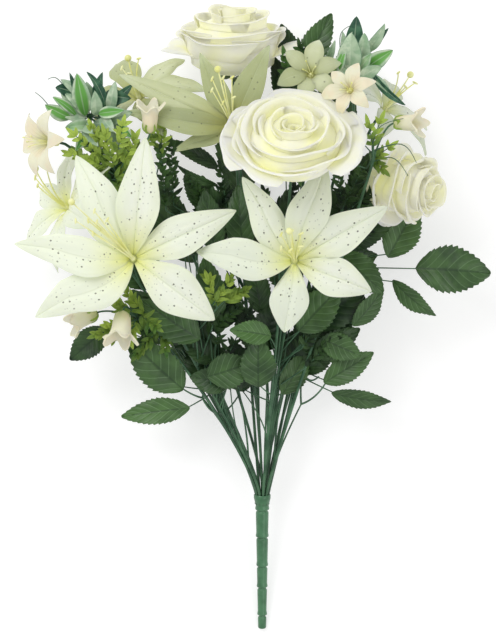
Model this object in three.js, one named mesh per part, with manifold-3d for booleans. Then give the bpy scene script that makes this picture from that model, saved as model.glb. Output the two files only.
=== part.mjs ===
// A mixed bouquet of fabric flowers: open cream roses, speckled white lilies, small
// trumpet flowers and bells, serrated rose leaves and sprays of fine greenery. Every
// stem stands in its own socket in a moulded, jointed handle. The bouquet lies on a
// table with its handle towards -Y and its blooms facing up. Millimetres, +Z up.
import * as THREE from "three";
import { mergeVertices } from "three/addons/utils/BufferGeometryUtils.js";
import Module from "manifold-3d";

const wasm = await Module();
wasm.setup();

// ---- driving dimensions -------------------------------------------------------
const HANDLE_TIP = [11.3, -248, 2]; // centre of the handle's tip, close above the table
const HANDLE_TILT = 13; // degrees that it rises from its tip to the blooms
const HANDLE_LENGTH = 111;
const HANDLE_TIP_RADIUS = 3.25;
const HANDLE_TOP_RADIUS = 5.4;
const HANDLE_COLLAR = { radius: 6.7, height: 9 }; // the top flares out around the sockets
const HANDLE_JOINTS = [10.4, 33.6, 51.2, 75.2, 97.6]; // grooves, measured from the tip
const GROOVE = { before: 1.5, depth: 0.8, after: 2, lip: 0.5 }; // a joint's groove and its raised lip
const SOCKET_DEPTH = 9;
const SOCKET_RINGS = [0, 2.5, 5.05]; // radii of the rings of sockets
const GAP = 0.3; // between a piece and the hole it stands in
const STEM_RADIUS = 1.15;
const PEG_RADIUS = 0.8; // a stem is slimmer in its socket and in its bloom
const PEG_LENGTH = 3;
const HOLE_RADIUS = PEG_RADIUS + Math.SQRT2 * GAP; // both are square, so their flats are GAP apart
const SHOULDER_GAP = 1.5 * GAP; // from the corner of a stem's shoulder to the back of its bloom
const TWIG_RADIUS = 0.75; // the stalk of a bell
const STALK_WIDTH = 1.2; // the flat stalk of a leaf
const PETAL_THICKNESS = 0.7;
const LEAF_THICKNESS = 0.7;
const ROSE_LEAF = { teeth: 3 };
const LEAFLETS = { width: 20, teeth: 4, depth: 0.85, lean: 0.1, columns: 1, fold: 0, arch: 0.1 };

// ---- colours ------------------------------------------------------------------
const finish = (color, roughness) => new THREE.MeshStandardMaterial({ color, roughness, metalness: 0 });
const ROSE_FABRIC = finish(0xf3eed2, 0.75);
const LILY_FABRIC = finish(0xe9efdc, 0.7);
const STAMEN_PLASTIC = finish(0xe6e388, 0.5);
const SMALL_FLOWER_FABRIC = finish(0xeee0c8, 0.75);
const LEAF_FABRIC = finish(0x31572f, 0.6);
const LIME_PLASTIC = finish(0x84a63a, 0.55);
const GREY_GREEN_PLASTIC = finish(0x8fb396, 0.6);
const HANDLE_PLASTIC = finish(0x3e7449, 0.45);

// ---- solids -------------------------------------------------------------------
const vec = (p) => new THREE.Vector3(...p);
const rad = THREE.MathUtils.degToRad;
const mix = THREE.MathUtils.lerp;
const UP = new THREE.Vector3(0, 0, 1);

function solidOf(geometry) {
  const bare = geometry.clone();
  bare.deleteAttribute("normal");
  bare.deleteAttribute("uv");
  const merged = mergeVertices(bare, 1e-4);
  const corners = merged.index.array;
  const kept = [];
  for (let k = 0; k < corners.length; k += 3) {
    const [a, b, c] = corners.slice(k, k + 3);
    if (a !== b && b !== c && c !== a) kept.push(a, b, c);
  }
  const vertProperties = merged.attributes.position.array;
  return new wasm.Manifold(new wasm.Mesh({ numProp: 3, vertProperties, triVerts: Uint32Array.from(kept) }));
}

const joined = (solids) => solids.reduce((whole, piece) => whole.add(piece));

function meshOf(name, whole, material) {
  const body = whole.decompose().sort((a, b) => b.volume() - a.volume())[0];
  const { vertProperties, triVerts } = body.getMesh();
  const geometry = new THREE.BufferGeometry();
  geometry.setAttribute("position", new THREE.BufferAttribute(new Float32Array(vertProperties), 3));
  geometry.setIndex(new THREE.BufferAttribute(new Uint32Array(triVerts), 1));
  const mesh = new THREE.Mesh(geometry, material);
  mesh.name = name;
  return mesh;
}

// A thin curved blade over point(u, v), u from root to tip and v from edge to edge.
function blade(point, rows, columns, thickness) {
  const step = 1e-3;
  const skins = [[], []];
  for (let i = 0; i <= rows; i++)
    for (let j = 0; j <= columns; j++) {
      const u = i / rows;
      const v = (2 * j) / columns - 1;
      const along = point(Math.min(u + step, 1), v).sub(point(Math.max(u - step, 0), v));
      const across = point(u, v + step).sub(point(u, v - step));
      const offset = across.cross(along).setLength(thickness / 2);
      skins[0].push(point(u, v).add(offset));
      skins[1].push(point(u, v).sub(offset));
    }
  const at = (skin, i, j) => (skin * (rows + 1) + i) * (columns + 1) + j;
  const faces = [];
  const quad = (a, b, c, d) => faces.push(a, b, c, a, c, d);
  for (let i = 0; i < rows; i++)
    for (let j = 0; j < columns; j++) {
      const [a, b, c, d] = [at(1, i, j), at(1, i, j + 1), at(1, i + 1, j + 1), at(1, i + 1, j)];
      quad(at(0, i, j), at(0, i, j + 1), at(0, i + 1, j + 1), at(0, i + 1, j));
      faces.push(a, c, b, a, d, c);
    }
  for (let j = 0; j < columns; j++) {
    quad(at(1, 0, j), at(1, 0, j + 1), at(0, 0, j + 1), at(0, 0, j));
    quad(at(0, rows, j), at(0, rows, j + 1), at(1, rows, j + 1), at(1, rows, j));
  }
  for (let i = 0; i < rows; i++) {
    quad(at(0, i, 0), at(0, i + 1, 0), at(1, i + 1, 0), at(1, i, 0));
    quad(at(1, i, columns), at(1, i + 1, columns), at(0, i + 1, columns), at(0, i, columns));
  }
  const geometry = new THREE.BufferGeometry().setFromPoints([...skins[0], ...skins[1]]);
  geometry.setIndex(faces);
  return geometry;
}

// A round wire along a curve.
function wire(path, radius, sides, steps) {
  const corners = Array.from({ length: sides }, (_, k) => {
    const angle = (2 * Math.PI * k) / sides;
    return new THREE.Vector2(radius * Math.cos(angle), radius * Math.sin(angle));
  });
  const section = new THREE.Shape(corners);
  return solidOf(new THREE.ExtrudeGeometry(section, { steps, extrudePath: path, bevelEnabled: false }));
}

const rod = (from, to, radius, sides) => wire(new THREE.LineCurve3(from, to), radius, sides, 1);

// A turned piece about +Z, from [radius, height] points that start and end on the axis.
function turned(profile, sides) {
  const outline = profile.map((p) => new THREE.Vector2(...p));
  return new THREE.LatheGeometry(outline, sides).rotateX(Math.PI / 2);
}

// ---- the handle ---------------------------------------------------------------
const AXIS = new THREE.Vector3(0, Math.cos(rad(HANDLE_TILT)), Math.sin(rad(HANDLE_TILT)));
const SIDE = new THREE.Vector3(1, 0, 0);
const RISE = new THREE.Vector3().crossVectors(SIDE, AXIS);
const MOUTH = vec(HANDLE_TIP).addScaledVector(AXIS, HANDLE_LENGTH);
const TABLE = solidOf(new THREE.BoxGeometry(900, 900, 50).translate(0, 0, -25));

function socketMouth([ring, azimuth]) {
  const out = SIDE.clone().multiplyScalar(Math.cos(rad(azimuth)));
  out.addScaledVector(RISE, Math.sin(rad(azimuth)));
  return { out, mouth: MOUTH.clone().addScaledVector(out, SOCKET_RINGS[ring]) };
}

function handle(sockets) {
  const radiusAt = (s) => mix(HANDLE_TIP_RADIUS, HANDLE_TOP_RADIUS, s / HANDLE_LENGTH);
  const profile = [[0, 0], [radiusAt(0) - 0.8, 0], [radiusAt(0), 1]];
  for (const joint of HANDLE_JOINTS) {
    profile.push([radiusAt(joint), joint - GROOVE.before]);
    profile.push([radiusAt(joint) - GROOVE.depth, joint]);
    profile.push([radiusAt(joint) + GROOVE.lip, joint + GROOVE.after]);
  }
  const { radius, height } = HANDLE_COLLAR;
  profile.push([radiusAt(HANDLE_LENGTH - height), HANDLE_LENGTH - height]);
  profile.push([radius, HANDLE_LENGTH - height / 3], [radius, HANDLE_LENGTH]);
  profile.push([0, HANDLE_LENGTH]);
  const stance = new THREE.Matrix4().makeBasis(SIDE, RISE.clone().negate(), AXIS);
  stance.setPosition(...HANDLE_TIP);
  let body = solidOf(turned(profile, 8).applyMatrix4(stance)).subtract(TABLE);
  for (const socket of sockets) {
    const { mouth } = socketMouth(socket);
    const bottom = mouth.clone().addScaledVector(AXIS, -SOCKET_DEPTH);
    body = body.subtract(rod(bottom, mouth.clone().addScaledVector(AXIS, 1), HOLE_RADIUS, 4));
  }
  return body;
}

// ---- stems and leaves ---------------------------------------------------------
// A stem's curve: straight out of its socket, then round to meet its bloom from behind.
function stemCurve({ socket, base, facing, reach = 45 }) {
  const { out, mouth } = socketMouth(socket);
  const start = mouth.clone().addScaledVector(AXIS, 1);
  const leaving = mouth.clone().addScaledVector(AXIS, 30).addScaledVector(out, 3 * socket[0]);
  const front = vec(facing).normalize();
  const end = vec(base).addScaledVector(front, -SHOULDER_GAP);
  return new THREE.CubicBezierCurve3(start, leaving, end.clone().addScaledVector(front, -reach), end);
}

function stemSolids(plan) {
  const { mouth } = socketMouth(plan.socket);
  const root = mouth.clone().addScaledVector(AXIS, GAP - SOCKET_DEPTH);
  const curve = stemCurve(plan);
  const solids = [rod(root, mouth.clone().addScaledVector(AXIS, 2), PEG_RADIUS, 4)];
  solids.push(wire(curve, STEM_RADIUS, 4, 6));
  return { curve, solids };
}

// The frame of a bloom: its +Z is the way it faces, and its +X is level with the table's.
function bloomFrame({ base, facing }) {
  const z = vec(facing).normalize();
  const x = SIDE.clone().addScaledVector(z, -z.x).normalize();
  const y = new THREE.Vector3().crossVectors(z, x);
  return new THREE.Matrix4().makeBasis(x, y, z).setPosition(...base);
}

const placed = (geometry, frame) => solidOf(geometry.clone().applyMatrix4(frame));

// The slim end of a stem in its bloom, or the hole for it.
function peg(plan, radius, depth) {
  const frame = bloomFrame(plan);
  const from = new THREE.Vector3(0, 0, -2).applyMatrix4(frame);
  const to = new THREE.Vector3(0, 0, depth).applyMatrix4(frame);
  return rod(from, to, radius, 4);
}

// A leaf's surface from base to tip: cut or plain edges, folded at its rib, arched, and
// turned about its length by roll. Deep cuts that lean forward make leaflets of its teeth.
function leafSurface(plan) {
  const { base, tip, width, roll = 0, arch = 0.08, fold = 0.2, teeth = 0, depth = 0.2, lean = 0 } = plan;
  const root = vec(base);
  const along = vec(tip).sub(root);
  const length = along.length();
  const side = new THREE.Vector3().crossVectors(along, UP).normalize();
  side.applyAxisAngle(along.clone().normalize(), rad(roll));
  const normal = new THREE.Vector3().crossVectors(side, along).normalize();
  return (u, v) => {
    const notch = teeth && u > 0.01 && u < 0.99 && Math.round(u * 2 * teeth) % 2 === 0;
    const outline = (width / 2) * Math.sin(Math.PI * u ** 0.85) ** 0.8;
    const half = STALK_WIDTH / 2 + outline * (notch ? 1 - depth : 1);
    const lift = arch * length * 4 * u * (1 - u) + fold * half * Math.abs(v);
    const ahead = u + (notch ? 0 : lean * Math.abs(v) * (1 - u));
    const spot = root.clone().addScaledVector(along, ahead).addScaledVector(side, v * half);
    return spot.addScaledVector(normal, lift);
  };
}

const bladeRows = ({ teeth, rows = 4 }) => (teeth ? 2 * teeth : rows);

const leaf = (plan) => solidOf(blade(leafSurface(plan), bladeRows(plan), plan.columns ?? 2, LEAF_THICKNESS));

// A leaf and its narrow stalk in one blade; the stalk starts inside what carries the leaf.
function stalkedLeaf(foot, plan) {
  const surface = leafSurface(plan);
  const rows = bladeRows(plan);
  const stalk = 2;
  const bend = foot.clone().lerp(vec(plan.base), 0.5).addScaledVector(UP, 3);
  const route = new THREE.QuadraticBezierCurve3(foot, bend, vec(plan.base));
  const across = surface(0, 1).sub(surface(0, -1)).setLength(STALK_WIDTH / 2);
  const whole = (t, v) => {
    const row = t * (rows + stalk) - stalk;
    return row >= 0 ? surface(row / rows, v) : route.getPoint(1 + row / stalk).addScaledVector(across, v);
  };
  return solidOf(blade(whole, rows + stalk, plan.columns ?? 2, LEAF_THICKNESS));
}

// ---- roses --------------------------------------------------------------------
// One petal: rooted in the core, cupped out to its radius, its rim rolled outward. One
// edge stands out from the ring and the other in, so that neighbours lap like a spiral.
function rosePetal({ radius, height, foot, span, turn, flare, ruffle }) {
  const spiral = Math.max(0.07 * radius, 1.3);
  const surface = (u, v) => {
    const out = Math.sin((u * Math.PI) / 2) ** 0.7;
    const azimuth = rad(turn) + v * rad(span / 2) * mix(0.4, 1, u ** 0.7) * (1 - 0.18 * u ** 4);
    const reach = mix(3, radius, out) + flare * u ** 4 + spiral * v * u;
    const lift = mix(foot, height, u) - 0.16 * height * v * v * u * u - 0.35 * flare * u ** 5;
    const wave = ruffle * Math.sin(2.6 * Math.PI * v + turn) * u ** 3;
    return new THREE.Vector3(reach * Math.cos(azimuth), reach * Math.sin(azimuth), lift + wave);
  };
  const small = radius < 12;
  return blade(surface, small ? 2 : 3, small ? 2 : 3, PETAL_THICKNESS);
}

function rose(plan) {
  const frame = bloomFrame(plan);
  const top = 0.85 * plan.height;
  const core = [[0, 0], [4, 0], [5, 3], [4.5, 0.6 * top], [2.5, top], [0, top]];
  const solids = [placed(turned(core, 5), frame)];
  plan.rings.forEach(({ count, offset, ruffle = 0, ...ring }, k) => {
    const foot = 1.5 + 2.6 * (plan.rings.length - 1 - k);
    for (let n = 0; n < count; n++) {
      const turn = offset + (360 * n) / count;
      solids.push(placed(rosePetal({ ...ring, foot, turn, ruffle }), frame));
    }
  });
  return joined(solids).subtract(peg(plan, HOLE_RADIUS, PEG_LENGTH + GAP));
}

// The green calyx behind a rose, with five pointed sepals turned back from the petals.
function calyx(plan) {
  const frame = bloomFrame(plan);
  const cone = [[0, -9], [1.4, -9], [3.8, -GAP - 1], [3.8, -GAP], [0, -GAP]];
  const points = Array.from({ length: 10 }, (_, k) => {
    const reach = k % 2 ? 4.5 : 20;
    return new THREE.Vector2(reach * Math.cos((Math.PI * k) / 5), reach * Math.sin((Math.PI * k) / 5));
  });
  const outline = new THREE.Shape(points);
  const sepals = new THREE.ExtrudeGeometry(outline, { depth: LEAF_THICKNESS, bevelEnabled: false });
  const corners = sepals.attributes.position;
  for (let k = 0; k < corners.count; k++) {
    const drop = 3 + 0.2 * Math.hypot(corners.getX(k), corners.getY(k));
    corners.setZ(k, corners.getZ(k) - drop);
  }
  return [placed(turned(cone, 5), frame), placed(sepals, frame)];
}

// ---- lilies and small trumpet flowers -----------------------------------------
// One petal: it climbs out of the throat, spreads, turns towards its tip's own azimuth and
// curls back. The three outer petals of a flower lie lower than the three inner ones.
function lilyPetal({ azimuth, root, length, width, outer, curl = 0 }) {
  const lower = outer ? 0.05 * length : 0;
  const rows = length > 60 ? 4 : 3;
  const spine = new THREE.CubicBezierCurve(
    new THREE.Vector2(1.2, Math.min(3, 0.06 * length)),
    new THREE.Vector2(0.12 * length, 0.3 * length - lower),
    new THREE.Vector2(0.6 * length, 0.36 * length - 1.6 * lower),
    new THREE.Vector2(length, (0.17 - curl) * length - lower),
  );
  const surface = (u, v) => {
    const { x, y } = spine.getPoint(u);
    const full = 0.4 + (width / 2) * Math.sin(Math.PI * u ** 0.85);
    const half = Math.min(full, 0.3 + 0.5 * x);
    const trough = mix(0.3, outer ? 0.04 : 0.12, u) * half * Math.abs(v);
    const wave = 0.03 * width * Math.sin(3 * Math.PI * u + azimuth) * v;
    const heading = rad(mix(root, azimuth, Math.min(1, 1.4 * u)));
    return new THREE.Vector3(x, v * half, y + trough + wave).applyAxisAngle(UP, heading);
  };
  return blade(surface, rows, length > 40 ? 2 : 1, PETAL_THICKNESS);
}

function trumpet(plan) {
  const frame = bloomFrame(plan);
  const size = plan.petals[0].length;
  const cup = [[0, 0], [3, 0], [3.4, 0.07 * size], [2.2, 0.1 * size], [0, 0.1 * size]];
  const solids = [placed(turned(cup, 6), frame)];
  for (const petal of plan.petals) solids.push(placed(lilyPetal(petal), frame));
  return joined(solids).subtract(peg(plan, HOLE_RADIUS, PEG_LENGTH + GAP));
}

// Six filaments with their anthers and a pistil, on a button deep in the throat.
function stamens({ filaments = 6, ...plan }) {
  const frame = bloomFrame(plan);
  const floor = 0.1 * plan.petals[0].length + GAP;
  const button = [[0, floor], [1.9, floor], [1.9, floor + 3], [0, floor + 4]];
  const solids = [placed(turned(button, 6), frame)];
  for (let k = 0; k <= filaments; k++) {
    const angle = (2 * Math.PI * k) / filaments + 0.5;
    const ring = k === filaments ? 0 : 1;
    const root = new THREE.Vector3(ring * Math.cos(angle), ring * Math.sin(angle), floor + 1);
    const top = root.clone().multiplyScalar(12).setZ(ring ? 38 + 3 * Math.sin(5 * k) : 46);
    top.add(new THREE.Vector3(...plan.lean, 0));
    solids.push(placed(needle(root, top, 0.7, 1.9), frame));
  }
  return joined(solids);
}

// A filament that bends over from root to top, with a knob at its end.
function needle(root, top, radius, knob) {
  const shape = turned([[0, 0], [radius, 0], [0.8 * radius, 0.82], [knob, 0.9], [0, 1]], 3);
  const corners = shape.attributes.position;
  for (let k = 0; k < corners.count; k++) {
    const corner = new THREE.Vector3().fromBufferAttribute(corners, k);
    const rise = Math.max(0, corner.z);
    const spot = new THREE.Vector3(mix(root.x, top.x, rise ** 1.6), mix(root.y, top.y, rise ** 1.6), 0);
    corners.setXYZ(k, corner.x + spot.x, corner.y + spot.y, mix(root.z, top.z, rise));
  }
  return shape;
}

// ---- bells --------------------------------------------------------------------
// A hanging bell with five pointed lobes that curl out around its mouth.
function bell(plan) {
  const frame = bloomFrame(plan);
  const { length, mouth } = plan;
  const wall = 0.9;
  const waist = 0.34 * mouth;
  const outside = [[0, 0], [2.4, 0], [0.3 * mouth, 0.22 * length], [waist, 0.7 * length]];
  const rim = [0.5 * mouth, length];
  const inside = [[waist - wall, 0.72 * length], [0, 0.35 * length]];
  const shell = turned([...outside, rim, ...inside], 10);
  const corners = shell.attributes.position;
  for (let k = 0; k < corners.count; k++) {
    const corner = new THREE.Vector3().fromBufferAttribute(corners, k);
    const nearRim = Math.max(0, corner.z / length - 0.75) * 4;
    const lobe = nearRim * Math.cos(5 * Math.atan2(corner.y, corner.x));
    corner.multiply(new THREE.Vector3(1 + 0.25 * lobe, 1 + 0.25 * lobe, 1 + 0.12 * lobe));
    corners.setXYZ(k, ...corner.toArray());
  }
  return placed(shell, frame).subtract(peg(plan, HOLE_RADIUS, PEG_LENGTH + GAP));
}

// ---- the bouquet's plan -------------------------------------------------------
// Petals by the azimuths of their tips, evened out towards the throat; every second one
// is an inner petal, which is broader and lies on the outer ones.
const petals = (azimuths, lengths, width) =>
  azimuths.map((azimuth, k) => ({
    azimuth,
    root: mix(azimuth, azimuths[0] + 60 * k, 0.6),
    length: lengths[k],
    width: k % 2 ? width : 0.84 * width,
    outer: k % 2 === 0,
  }));

const star = (length, width, turn = 0) =>
  petals([0, 1, 2, 3, 4, 5].map((k) => turn + 60 * k), Array(6).fill(length), width);

const ROSES = [
  {
    name: "rose_centre", socket: [2, 82], base: [34, 121, 133], facing: [0.03, 0.73, 0.68], height: 38,
    rings: [
      { count: 3, radius: 9, height: 38, span: 150, flare: 1, offset: 10 },
      { count: 3, radius: 18, height: 39, span: 140, flare: 3, offset: 60 },
      { count: 4, radius: 29, height: 36, span: 115, flare: 6, offset: 20 },
      { count: 5, radius: 43, height: 27, span: 92, flare: 10, offset: 50, ruffle: 1.5 },
    ],
  },
  {
    name: "rose_top", socket: [1, 210], base: [-12, 193, 57], facing: [0, 0.97, 0.25], height: 46,
    rings: [
      { count: 3, radius: 11, height: 49, span: 150, flare: 1, offset: 10 },
      { count: 3, radius: 24, height: 42, span: 150, flare: 4, offset: 50 },
      { count: 5, radius: 38, height: 30, span: 96, flare: 9, offset: 20, ruffle: 1.2 },
    ],
  },
  {
    name: "rose_right", socket: [2, 343], base: [98, 108, 70], facing: [0.85, 0, 0.5], height: 38,
    rings: [
      { count: 3, radius: 9, height: 41, span: 150, flare: 1, offset: 40 },
      { count: 3, radius: 19, height: 36, span: 150, flare: 3, offset: 10 },
      { count: 5, radius: 29, height: 24, span: 96, flare: 7, offset: 50, ruffle: 1.2 },
    ],
  },
];

const LILIES = [
  {
    name: "lily_left", socket: [2, 114], base: [-89, 46, 112], facing: [0, 0, 1], lean: [-30, 28],
    petals: petals([25, 84, 119, 173, 211, 323], [88, 94, 91, 92, 88, 79], 45),
  },
  {
    name: "lily_front", socket: [1, 66], base: [36, 44.5, 112], facing: [0, 0, 1], lean: [-4, 20],
    petals: petals([30, 72, 122, 175, 262, 338], [83, 78, 76, 76, 56, 64], 40),
  },
  {
    name: "lily_upper", socket: [0, 0], base: [-10.5, 150, 92], facing: [-0.1, 0, 1], lean: [-14, 28],
    petals: petals([66, 115, 160, 205, 255, 330], [68, 62, 88, 60, 44, 44], 38),
  },
  {
    name: "lily_back_left", socket: [2, 278], base: [-84, 168, 56], facing: [-0.25, 0.75, 0.6], lean: [0, 8],
    petals: star(53, 30, 30), filaments: 3,
  },
  {
    name: "lily_far_left", socket: [2, 213], base: [-136, 84, 72], facing: [-0.75, 0.35, 0.55], lean: [0, 20],
    petals: star(54, 32, 15), filaments: 3,
  },
  {
    name: "lily_right", socket: [2, 311], base: [104, 160, 44], facing: [0.5, 0.8, 0.3], lean: [0, 8],
    petals: star(42, 28, 10), filaments: 3,
  },
];

const TRUMPETS = [
  {
    name: "trumpet_left", socket: [2, 180], base: [-148, 137, 92], facing: [-0.8, 0, 0.6],
    petals: star(30, 18, 8),
  },
  {
    name: "trumpet_right", socket: [2, 16], base: [81, 175, 106], facing: [0.1, 0.6, 0.7],
    petals: star(29, 17),
  },
  {
    name: "trumpet_back", socket: [1, 354], base: [50, 188, 82], facing: [0.1, 0.9, 0.4],
    petals: star(29, 17),
  },
];

const LEAVES = {
  rose_centre: [
    { from: 0.44, base: [18, -14, 86], tip: [-14, -9, 94], width: 20, roll: 8 },
    { from: 0.3, base: [8, -54, 70], tip: [8, -14, 86], width: 30 },
  ],
  rose_right: [
    { from: 0.7, base: [110, 48, 56], tip: [133, 90, 44], width: 31, roll: 6 },
    { from: 0.68, base: [132, 39, 62], tip: [191, 35, 58], width: 40, roll: -8 },
    { from: 0.66, base: [114, 30, 62], tip: [148, 2, 60], width: 18, roll: 35 },
    { from: 0.38, base: [60, -51, 52], tip: [99, -27, 56], width: 22 },
    { from: 0.36, base: [66, -59, 50], tip: [113, -66, 46], width: 16, roll: 20 },
  ],
  lily_far_left: [
    { from: 0.34, base: [-51, -56, 56], tip: [-94, -15, 72], width: 36, roll: -12 },
    { from: 0.32, base: [-46, -71, 50], tip: [-100, -78, 44], width: 22, roll: 8 },
  ],
  lily_left: [
    { from: 0.38, base: [-32, -46, 68], tip: [4, -34, 72], width: 30, roll: 10 },
    { from: 0.5, base: [-38, -17, 74], tip: [-84, 14, 78], width: 31 },
    { from: 0.5, base: [-24, 0, 72], tip: [-34, 48, 84], width: 26, roll: -10 },
  ],
  lily_front: [
    { from: 0.56, base: [40, -10, 80], tip: [72, 24, 88], width: 32, roll: -6 },
    { from: 0.38, base: [27, -60, 50], tip: [46, -26, 50], width: 22, roll: 12 },
  ],
  lily_upper: [
    { from: 0.6, base: [-26, 53, 76], tip: [-34, 100, 84], width: 25 },
    { from: 0.6, base: [-4, 49, 76], tip: [-8, 104, 80], width: 25 },
  ],
  rose_top: [
    { from: 0.7, base: [-24, 118, 62], tip: [-66, 140, 74], width: 18 },
    { from: 0.62, base: [-4, 95, 34], tip: [-14, 178, 0], width: 36, roll: 6, arch: -0.05 },
  ],
  trumpet_right: [
    { from: 0.4, base: [57, -16, 66], tip: [89, -30, 64], width: 22 },
    { from: 0.44, base: [82, -6, 68], tip: [106, 24, 66], width: 18, roll: 25 },
    { from: 0.5, base: [72, 50, 76], tip: [106, 20, 78], width: 28 },
  ],
  trumpet_back: [
    { from: 0.84, base: [42, 194, 50], tip: [66, 240, 54], width: 24 },
    { from: 0.8, base: [62, 120, 60], tip: [84, 168, 70], width: 24 },
  ],
  trumpet_left: [
    { from: 0.5, base: [-76, 24, 42], tip: [-116, 58, 34], width: 32, roll: 8 },
  ],
  lily_back_left: [
    { from: 0.5, base: [-41, 45, 31], tip: [-98, 118, -1], width: 42, roll: -6, arch: -0.04 },
    { from: 0.4, base: [-30, 0, 30], tip: [-64, -44, 18], width: 26 },
  ],
  lily_right: [
    { from: 0.5, base: [52, 40, 30], tip: [114, 104, -1], width: 42, roll: 6, arch: -0.04 },
    { from: 0.42, base: [46, -8, 30], tip: [82, -36, 22], width: 26 },
  ],
};

// Fine greenery: each has its own stem, its sprays or its leaves, and the bells it carries.
const GREENERY = [
  {
    name: "lime_spray_low", socket: [2, 147], base: [-88, 2, 84], facing: [-0.7, 0.5, 0.5],
    paint: LIME_PLASTIC,
    sprays: [
      { base: [-92, -4, 90], tip: [-124, -16, 100] },
      { base: [-84, -8, 88], tip: [-98, -38, 96] },
      { base: [-84, -6, 92], tip: [-70, -34, 104] },
    ],
    bells: [
      { name: "bell_low_right", base: [-97, 5, 104], facing: [-0.1, -0.9, 0.35], length: 24, mouth: 20 },
      { name: "bell_low_left", base: [-118, 4, 92], facing: [-0.9, -0.4, 0.2], length: 22, mouth: 18 },
    ],
  },
  {
    name: "lime_spray_left", socket: [1, 138], base: [-104, 118, 92], facing: [-0.3, 0.8, 0.5],
    paint: LIME_PLASTIC,
    sprays: [
      { base: [-108, 120, 98], tip: [-137, 144, 112] },
      { base: [-103, 122, 100], tip: [-96, 153, 118] },
      { base: [-97, 113, 98], tip: [-84, 128, 104] },
      { from: 0.5, base: [-28, 10, 92], tip: [-4, 42, 96] },
    ],
    bells: [
      { name: "bell_upper_left", base: [-76, 144, 110], facing: [0, 0.9, 0.35], length: 22, mouth: 18 },
    ],
  },
  {
    name: "lime_spray_right", socket: [2, 49], base: [98, 126, 116], facing: [0.2, 0.8, 0.5],
    paint: LIME_PLASTIC,
    sprays: [
      { base: [102, 130, 122], tip: [130, 142, 134] },
      { base: [97, 132, 124], tip: [90, 160, 136] },
    ],
    bells: [
      { name: "bell_right", base: [114, 151, 112], facing: [0.85, 0, 0.5], length: 22, mouth: 18 },
    ],
  },
  {
    name: "grey_sprig_left", socket: [2, 245], base: [-124, 158, 84], facing: [-0.1, 0.9, 0.45],
    paint: GREY_GREEN_PLASTIC,
    tips: [
      [-137, 191, 104, 14], [-117, 194, 108, 12], [-95, 178, 106, 12], [-101, 158, 116, 11],
      [-146, 182, 88, 12], [-155, 166, 98, 11], [-126, 174, 120, 12], [-134, 150, 112, 11],
    ],
  },
  {
    name: "grey_sprig_right", socket: [1, 284], base: [86, 198, 74], facing: [0.1, 0.95, 0.3],
    paint: GREY_GREEN_PLASTIC,
    tips: [
      [82, 238, 84, 13], [95, 231, 98, 11], [79, 223, 104, 12], [104, 227, 78, 12], [115, 207, 88, 13],
      [64, 216, 86, 9], [72, 230, 62, 11],
    ],
  },
];

// ---- assembly -----------------------------------------------------------------
const bouquet = new THREE.Group();
const allPlans = [...ROSES, ...LILIES, ...TRUMPETS, ...GREENERY];
bouquet.add(meshOf("handle", handle(allPlans.map((plan) => plan.socket)), HANDLE_PLASTIC));

function leafyStem(plan) {
  const { curve, solids } = stemSolids(plan);
  solids.push(peg(plan, PEG_RADIUS, PEG_LENGTH));
  if (plan.rings) solids.push(...calyx(plan));
  for (const { from, ...spot } of LEAVES[plan.name]) {
    solids.push(stalkedLeaf(curve.getPointAt(from), { ...ROSE_LEAF, ...spot }));
  }
  return joined(solids).subtract(TABLE);
}

function greenery(plan) {
  const { curve, solids } = stemSolids(plan);
  const end = curve.getPoint(1);
  (plan.sprays ?? []).forEach(({ from, ...spray }, k) => {
    const foot = curve.getPointAt(from ?? 0.99 - 0.01 * k);
    solids.push(stalkedLeaf(foot, { ...LEAFLETS, ...spray }));
  });
  if (plan.tips) solids.push(placed(new THREE.OctahedronGeometry(3.4), new THREE.Matrix4().setPosition(end)));
  for (const [x, y, z, width] of plan.tips ?? []) {
    const root = vec([x, y, z]).sub(end).setLength(1).add(end);
    solids.push(leaf({ base: root.toArray(), tip: [x, y, z], width, rows: 3, columns: 1, fold: 0 }));
  }
  for (const hanging of plan.bells ?? []) {
    const behind = (distance) => new THREE.Vector3(0, 0, -distance).applyMatrix4(bloomFrame(hanging));
    const over = end.clone().addScaledVector(UP, 6);
    const stalk = new THREE.CubicBezierCurve3(end, over, behind(10), behind(SHOULDER_GAP));
    solids.push(wire(stalk, TWIG_RADIUS, 3, 4), peg(hanging, PEG_RADIUS, PEG_LENGTH));
  }
  return joined(solids);
}

for (const plan of ROSES) {
  bouquet.add(meshOf(`stem_${plan.name}`, leafyStem(plan), LEAF_FABRIC));
  bouquet.add(meshOf(plan.name, rose(plan), ROSE_FABRIC));
}
for (const plan of LILIES) {
  bouquet.add(meshOf(`stem_${plan.name}`, leafyStem(plan), LEAF_FABRIC));
  bouquet.add(meshOf(plan.name, trumpet(plan), LILY_FABRIC));
  bouquet.add(meshOf(`${plan.name}_stamens`, stamens(plan), STAMEN_PLASTIC));
}
for (const plan of TRUMPETS) {
  bouquet.add(meshOf(`stem_${plan.name}`, leafyStem(plan), LEAF_FABRIC));
  bouquet.add(meshOf(plan.name, trumpet(plan), SMALL_FLOWER_FABRIC));
}
for (const plan of GREENERY) {
  bouquet.add(meshOf(plan.name, greenery(plan), plan.paint));
  for (const hanging of plan.bells ?? []) {
    bouquet.add(meshOf(hanging.name, bell(hanging), SMALL_FLOWER_FABRIC));
  }
}

// The origin is under the middle of the whole bouquet, on the table.
const extent = new THREE.Box3().setFromObject(bouquet);
const middle = extent.getCenter(new THREE.Vector3());
bouquet.position.set(-middle.x, -middle.y, 0);

export default bouquet;
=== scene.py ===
# A mixed bouquet of fabric flowers, laid on a pale table with its blooms facing up and
# its moulded handle towards -Y. The camera looks straight down on it. Metres throughout;
# the plan's own numbers are millimetres, as a florist would measure them.
import math
import random

import bpy
import numpy as np
from mathutils import Matrix, Vector


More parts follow.
